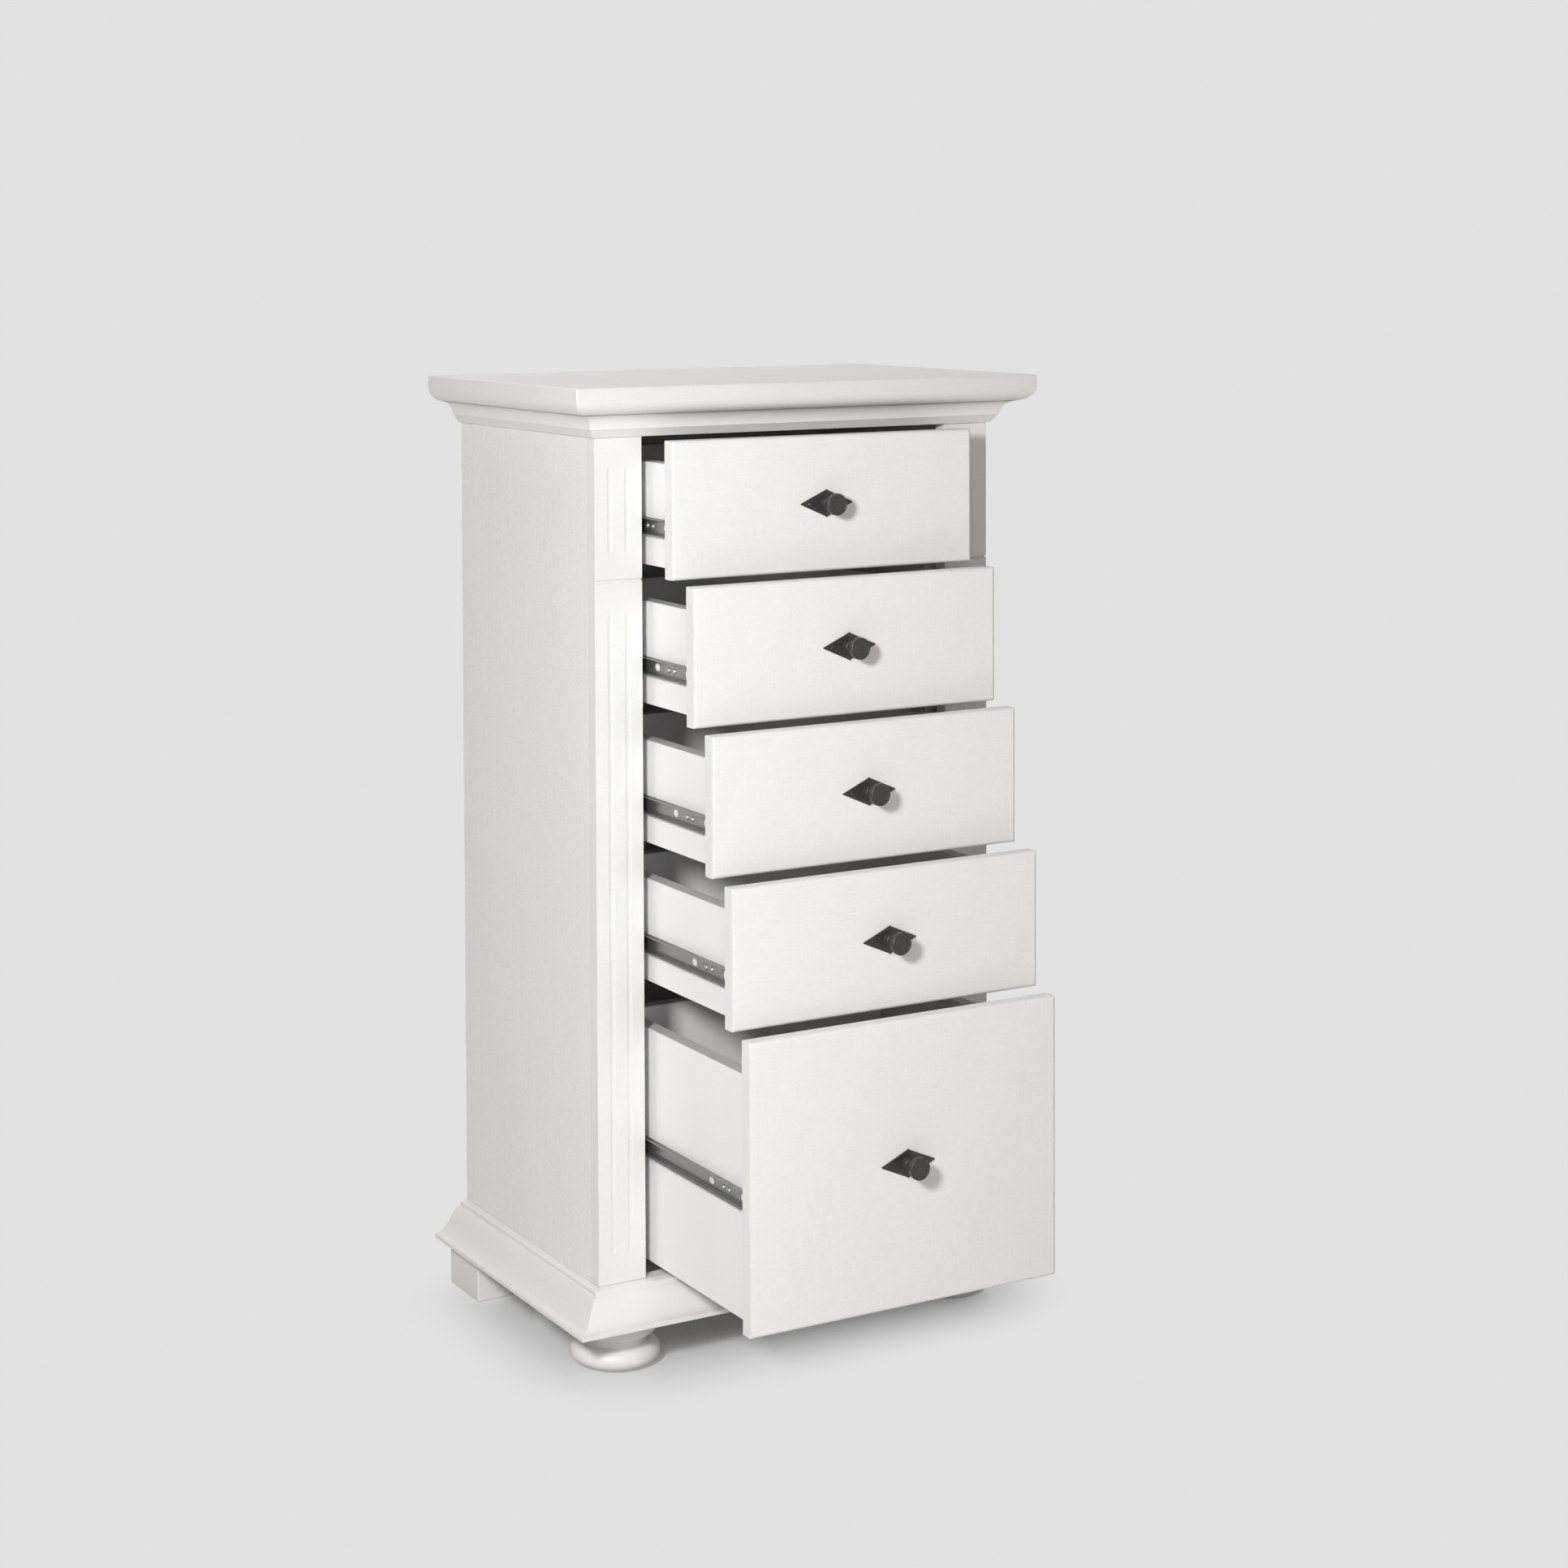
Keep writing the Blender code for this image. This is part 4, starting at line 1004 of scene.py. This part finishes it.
# Drawer fronts.
# Boards painted with the case, their front edges rounded with a router. Their paint is a lighter
# copy of the case's: painted light. They overlap the boxes all round, and a machine screw behind
# each holds its knob.

FRONT_ROUND, FRONT_CORNER = 0.0042, 0.0012
BACK_EDGE, BACK_CORNER = 0.0004, 0.0010
BOLT_PROFILE = ((0, 0.0034), (0.0022, 0.0032), (0.0037, 0.0021), (0.0040, 0.0008),
                (0.0040, 0.0006), (0.0062, 0.0006), (0.0062, 0), (0, 0))  # head and washer
BOLT_SLOT, BOLT_SLOT_FLOOR, BOLT_SLOT_TOP = (0.005, 0.0005), 0.0020, 0.006
BOLT_GAP = 0.0001

# a lighter copy of the case paint, painted light; its side faces and rounded edges get painted
# shade
front_paint_painted_light = paint("off_white_front_painted_light", (0.862, 0.850, 0.823), 0.29, painted_side_shade=0.11, edges=0.16)


def eased_ring(low, high, inset, depth, corner):
    """A rectangle in the plane of the front, its corners slightly rounded."""
    left, right = low.x + inset + corner, high.x - inset - corner
    foot, head = low.z + inset + corner, high.z - inset - corner
    ring = []
    for x, z, start in ((right, head, 0), (left, head, 90), (left, foot, 180), (right, foot, 270)):
        ring += arc((x, z), corner, start, start + 90, 3)
    return [(x, depth, z) for x, z in ring]


bolt_slot = board("slot", (-BOLT_SLOT[0], -BOLT_SLOT[1], BOLT_SLOT_FLOOR),
                  (*BOLT_SLOT, BOLT_SLOT_TOP), BLADE_ARRIS, 1)
bolt = carved(turned("bolt", BOLT_PROFILE, 32), [bolt_slot])
bolt.transform(Matrix.Rotation(radians(-90), 4, "X"))

for body in DRAWERS:
    low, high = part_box(f"{body}_front")
    rings = [eased_ring(low, high, BACK_EDGE, high.y, BACK_CORNER),
             eased_ring(low, high, 0, high.y - BACK_EDGE, FRONT_CORNER)]
    for out, back in arc((FRONT_ROUND, FRONT_ROUND), FRONT_ROUND, 180, 270, 9):
        rings.append(eased_ring(low, high, out, low.y + back, FRONT_CORNER))
    front = placed(f"{body}_front_board", loft("front", rings, 40), front_paint_painted_light)
    dress(front, body, "painted_front", f"{body}_front")
    knob_low, knob_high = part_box(f"{body}_knob")
    centre = ((knob_low.x + knob_high.x) / 2, high.y + BOLT_GAP, (knob_low.z + knob_high.z) / 2)
    dress(placed(f"{body}_knob_bolt", bolt, screw_steel, centre), body, "zinc_steel")


# Backplates.
# Flat diamonds of blackened iron, sheared from sheet, with blunt points and a small hole
# near each side point.

PLATE_BEVEL, BEVEL_MIDDLE = 0.0004, (0.0001, 0.00015)
PLATE_HOLE_IN, PLATE_HOLE = 0.012, 0.0012
SIDE_TIP, END_TIP = 0.0011 * 0.72, 0.0011 * 1.2  # half the width of a blunted point
TIP_CURVE = ((-1, 0.75), (-0.55, 0.22), (0, 0), (0.55, 0.22), (1, 0.75))  # along, and inward

iron = metal("blackened_iron", (0.048, 0.047, 0.044), 0.38, 0.35, 620, 0.0007, contrast=1.7)


def diamond(wide, tall):
    """A diamond's outline, its four points rounded off."""
    outline = []
    for across, up in ((wide, 0), (0, tall), (-wide, 0), (0, -tall)):
        reach = (across ** 2 + up ** 2) ** 0.5
        ahead = Vector((across, up)) / reach
        along = Vector((-ahead.y, ahead.x))
        tip = SIDE_TIP if across else END_TIP
        for share, inward in TIP_CURVE:
            outline.append(tuple(ahead * (reach - tip * inward) + along * share * tip))
    return outline


for body in DRAWERS:
    low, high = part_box(f"{body}_backplate")
    centre = ((low.x + high.x) / 2, 0, (low.z + high.z) / 2)
    wide, tall = (high.x - low.x) / 2, (high.z - low.z) / 2
    rings = []
    for inset, depth in ((0, high.y), (0, low.y + PLATE_BEVEL),
                         (BEVEL_MIDDLE[0], low.y + BEVEL_MIDDLE[1]), (PLATE_BEVEL, low.y)):
        scale = ((wide - inset) / wide, (tall - inset) / tall)
        rings.append([(x * scale[0], depth, z * scale[1]) for x, z in diamond(wide, tall)])
    holes = [prism("hole", arc((side * (wide - PLATE_HOLE_IN), 0), PLATE_HOLE, 0, 345, 23), "Y",
                   low.y - 0.002, high.y + 0.002) for side in (-1, 1)]
    plate = placed(f"{body}_diamond", carved(loft("plate", rings), holes), iron, centre)
    dress(plate, body, "dark_iron", f"{body}_backplate")


# Knobs.
# Turned iron knobs: a stepped collar on the plate, a narrow neck, a bead, and a head with a
# flat face. They are the last things to go on.

KNOB_FOOT = (0.0103, 0.0018)  # radius and height of the lower step
KNOB_STEP = (0.0087, 0.0036)  # and of the upper one
KNOB_EDGE, KNOB_INNER = 0.0005, 0.0002  # outer edges, and the corner between
NECK_FOOT = ((0.0076, 0.0036), (0.0062, 0.0038), (0.0060, 0.0062))
NECK_HEAD = ((0.0060, 0.0125), (0.0062, 0.0102), (0.0086, 0.0098))  # from the face down
BEAD_MIDDLE, BEAD_HALF = (0.0110, 0.0082), (0.0012, 0.0016)
HEAD_RADIUS, HEAD_DEPTH, HEAD_INNER = 0.0135, 0.0064, 0.0112
HEAD_BACK, HEAD_FRONT = 0.0010, 0.0014  # its roundings
FACE = ((0.0113, 0.00005), (0.0110, 0.0003), (0.0060, 0.0002), (0, 0.0001))  # its turned ring


def knob_profile(reach):
    """(radius, forward) points of a knob that reaches this far out from its plate."""
    profile = [(0, 0), (KNOB_FOOT[0], 0)]
    profile += arc((KNOB_FOOT[0] - KNOB_EDGE, KNOB_FOOT[1] - KNOB_EDGE), KNOB_EDGE, 0, 90, 3)
    profile += [(KNOB_STEP[0] + KNOB_INNER, KNOB_FOOT[1])]
    profile += arc((KNOB_STEP[0] - KNOB_EDGE, KNOB_STEP[1] - KNOB_EDGE), KNOB_EDGE, 0, 90, 3)
    profile += bezier(NECK_FOOT, 6)
    profile += bezier([(radius, reach - down) for radius, down in NECK_HEAD], 6)
    profile += arc((BEAD_MIDDLE[0], reach - BEAD_MIDDLE[1]), BEAD_HALF, -90, 90, 8)
    profile += [(HEAD_INNER, reach - HEAD_DEPTH)]
    profile += arc((HEAD_RADIUS - HEAD_BACK, reach - HEAD_DEPTH + HEAD_BACK), HEAD_BACK, -90, 0, 4)
    profile += arc((HEAD_RADIUS - HEAD_FRONT, reach - HEAD_FRONT), HEAD_FRONT, 0, 90, 6)
    return profile + [(radius, reach - down) for radius, down in FACE]


for body in DRAWERS:
    low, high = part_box(f"{body}_knob")
    centre = ((low.x + high.x) / 2, high.y, (low.z + high.z) / 2)
    grip = turned("knob", knob_profile(high.y - low.y), 72, Matrix.Rotation(radians(90), 4, "X"))
    knob = placed(f"{body}_turned_knob", grip, iron, centre)
    dress(knob, body, "dark_iron", f"{body}_knob")
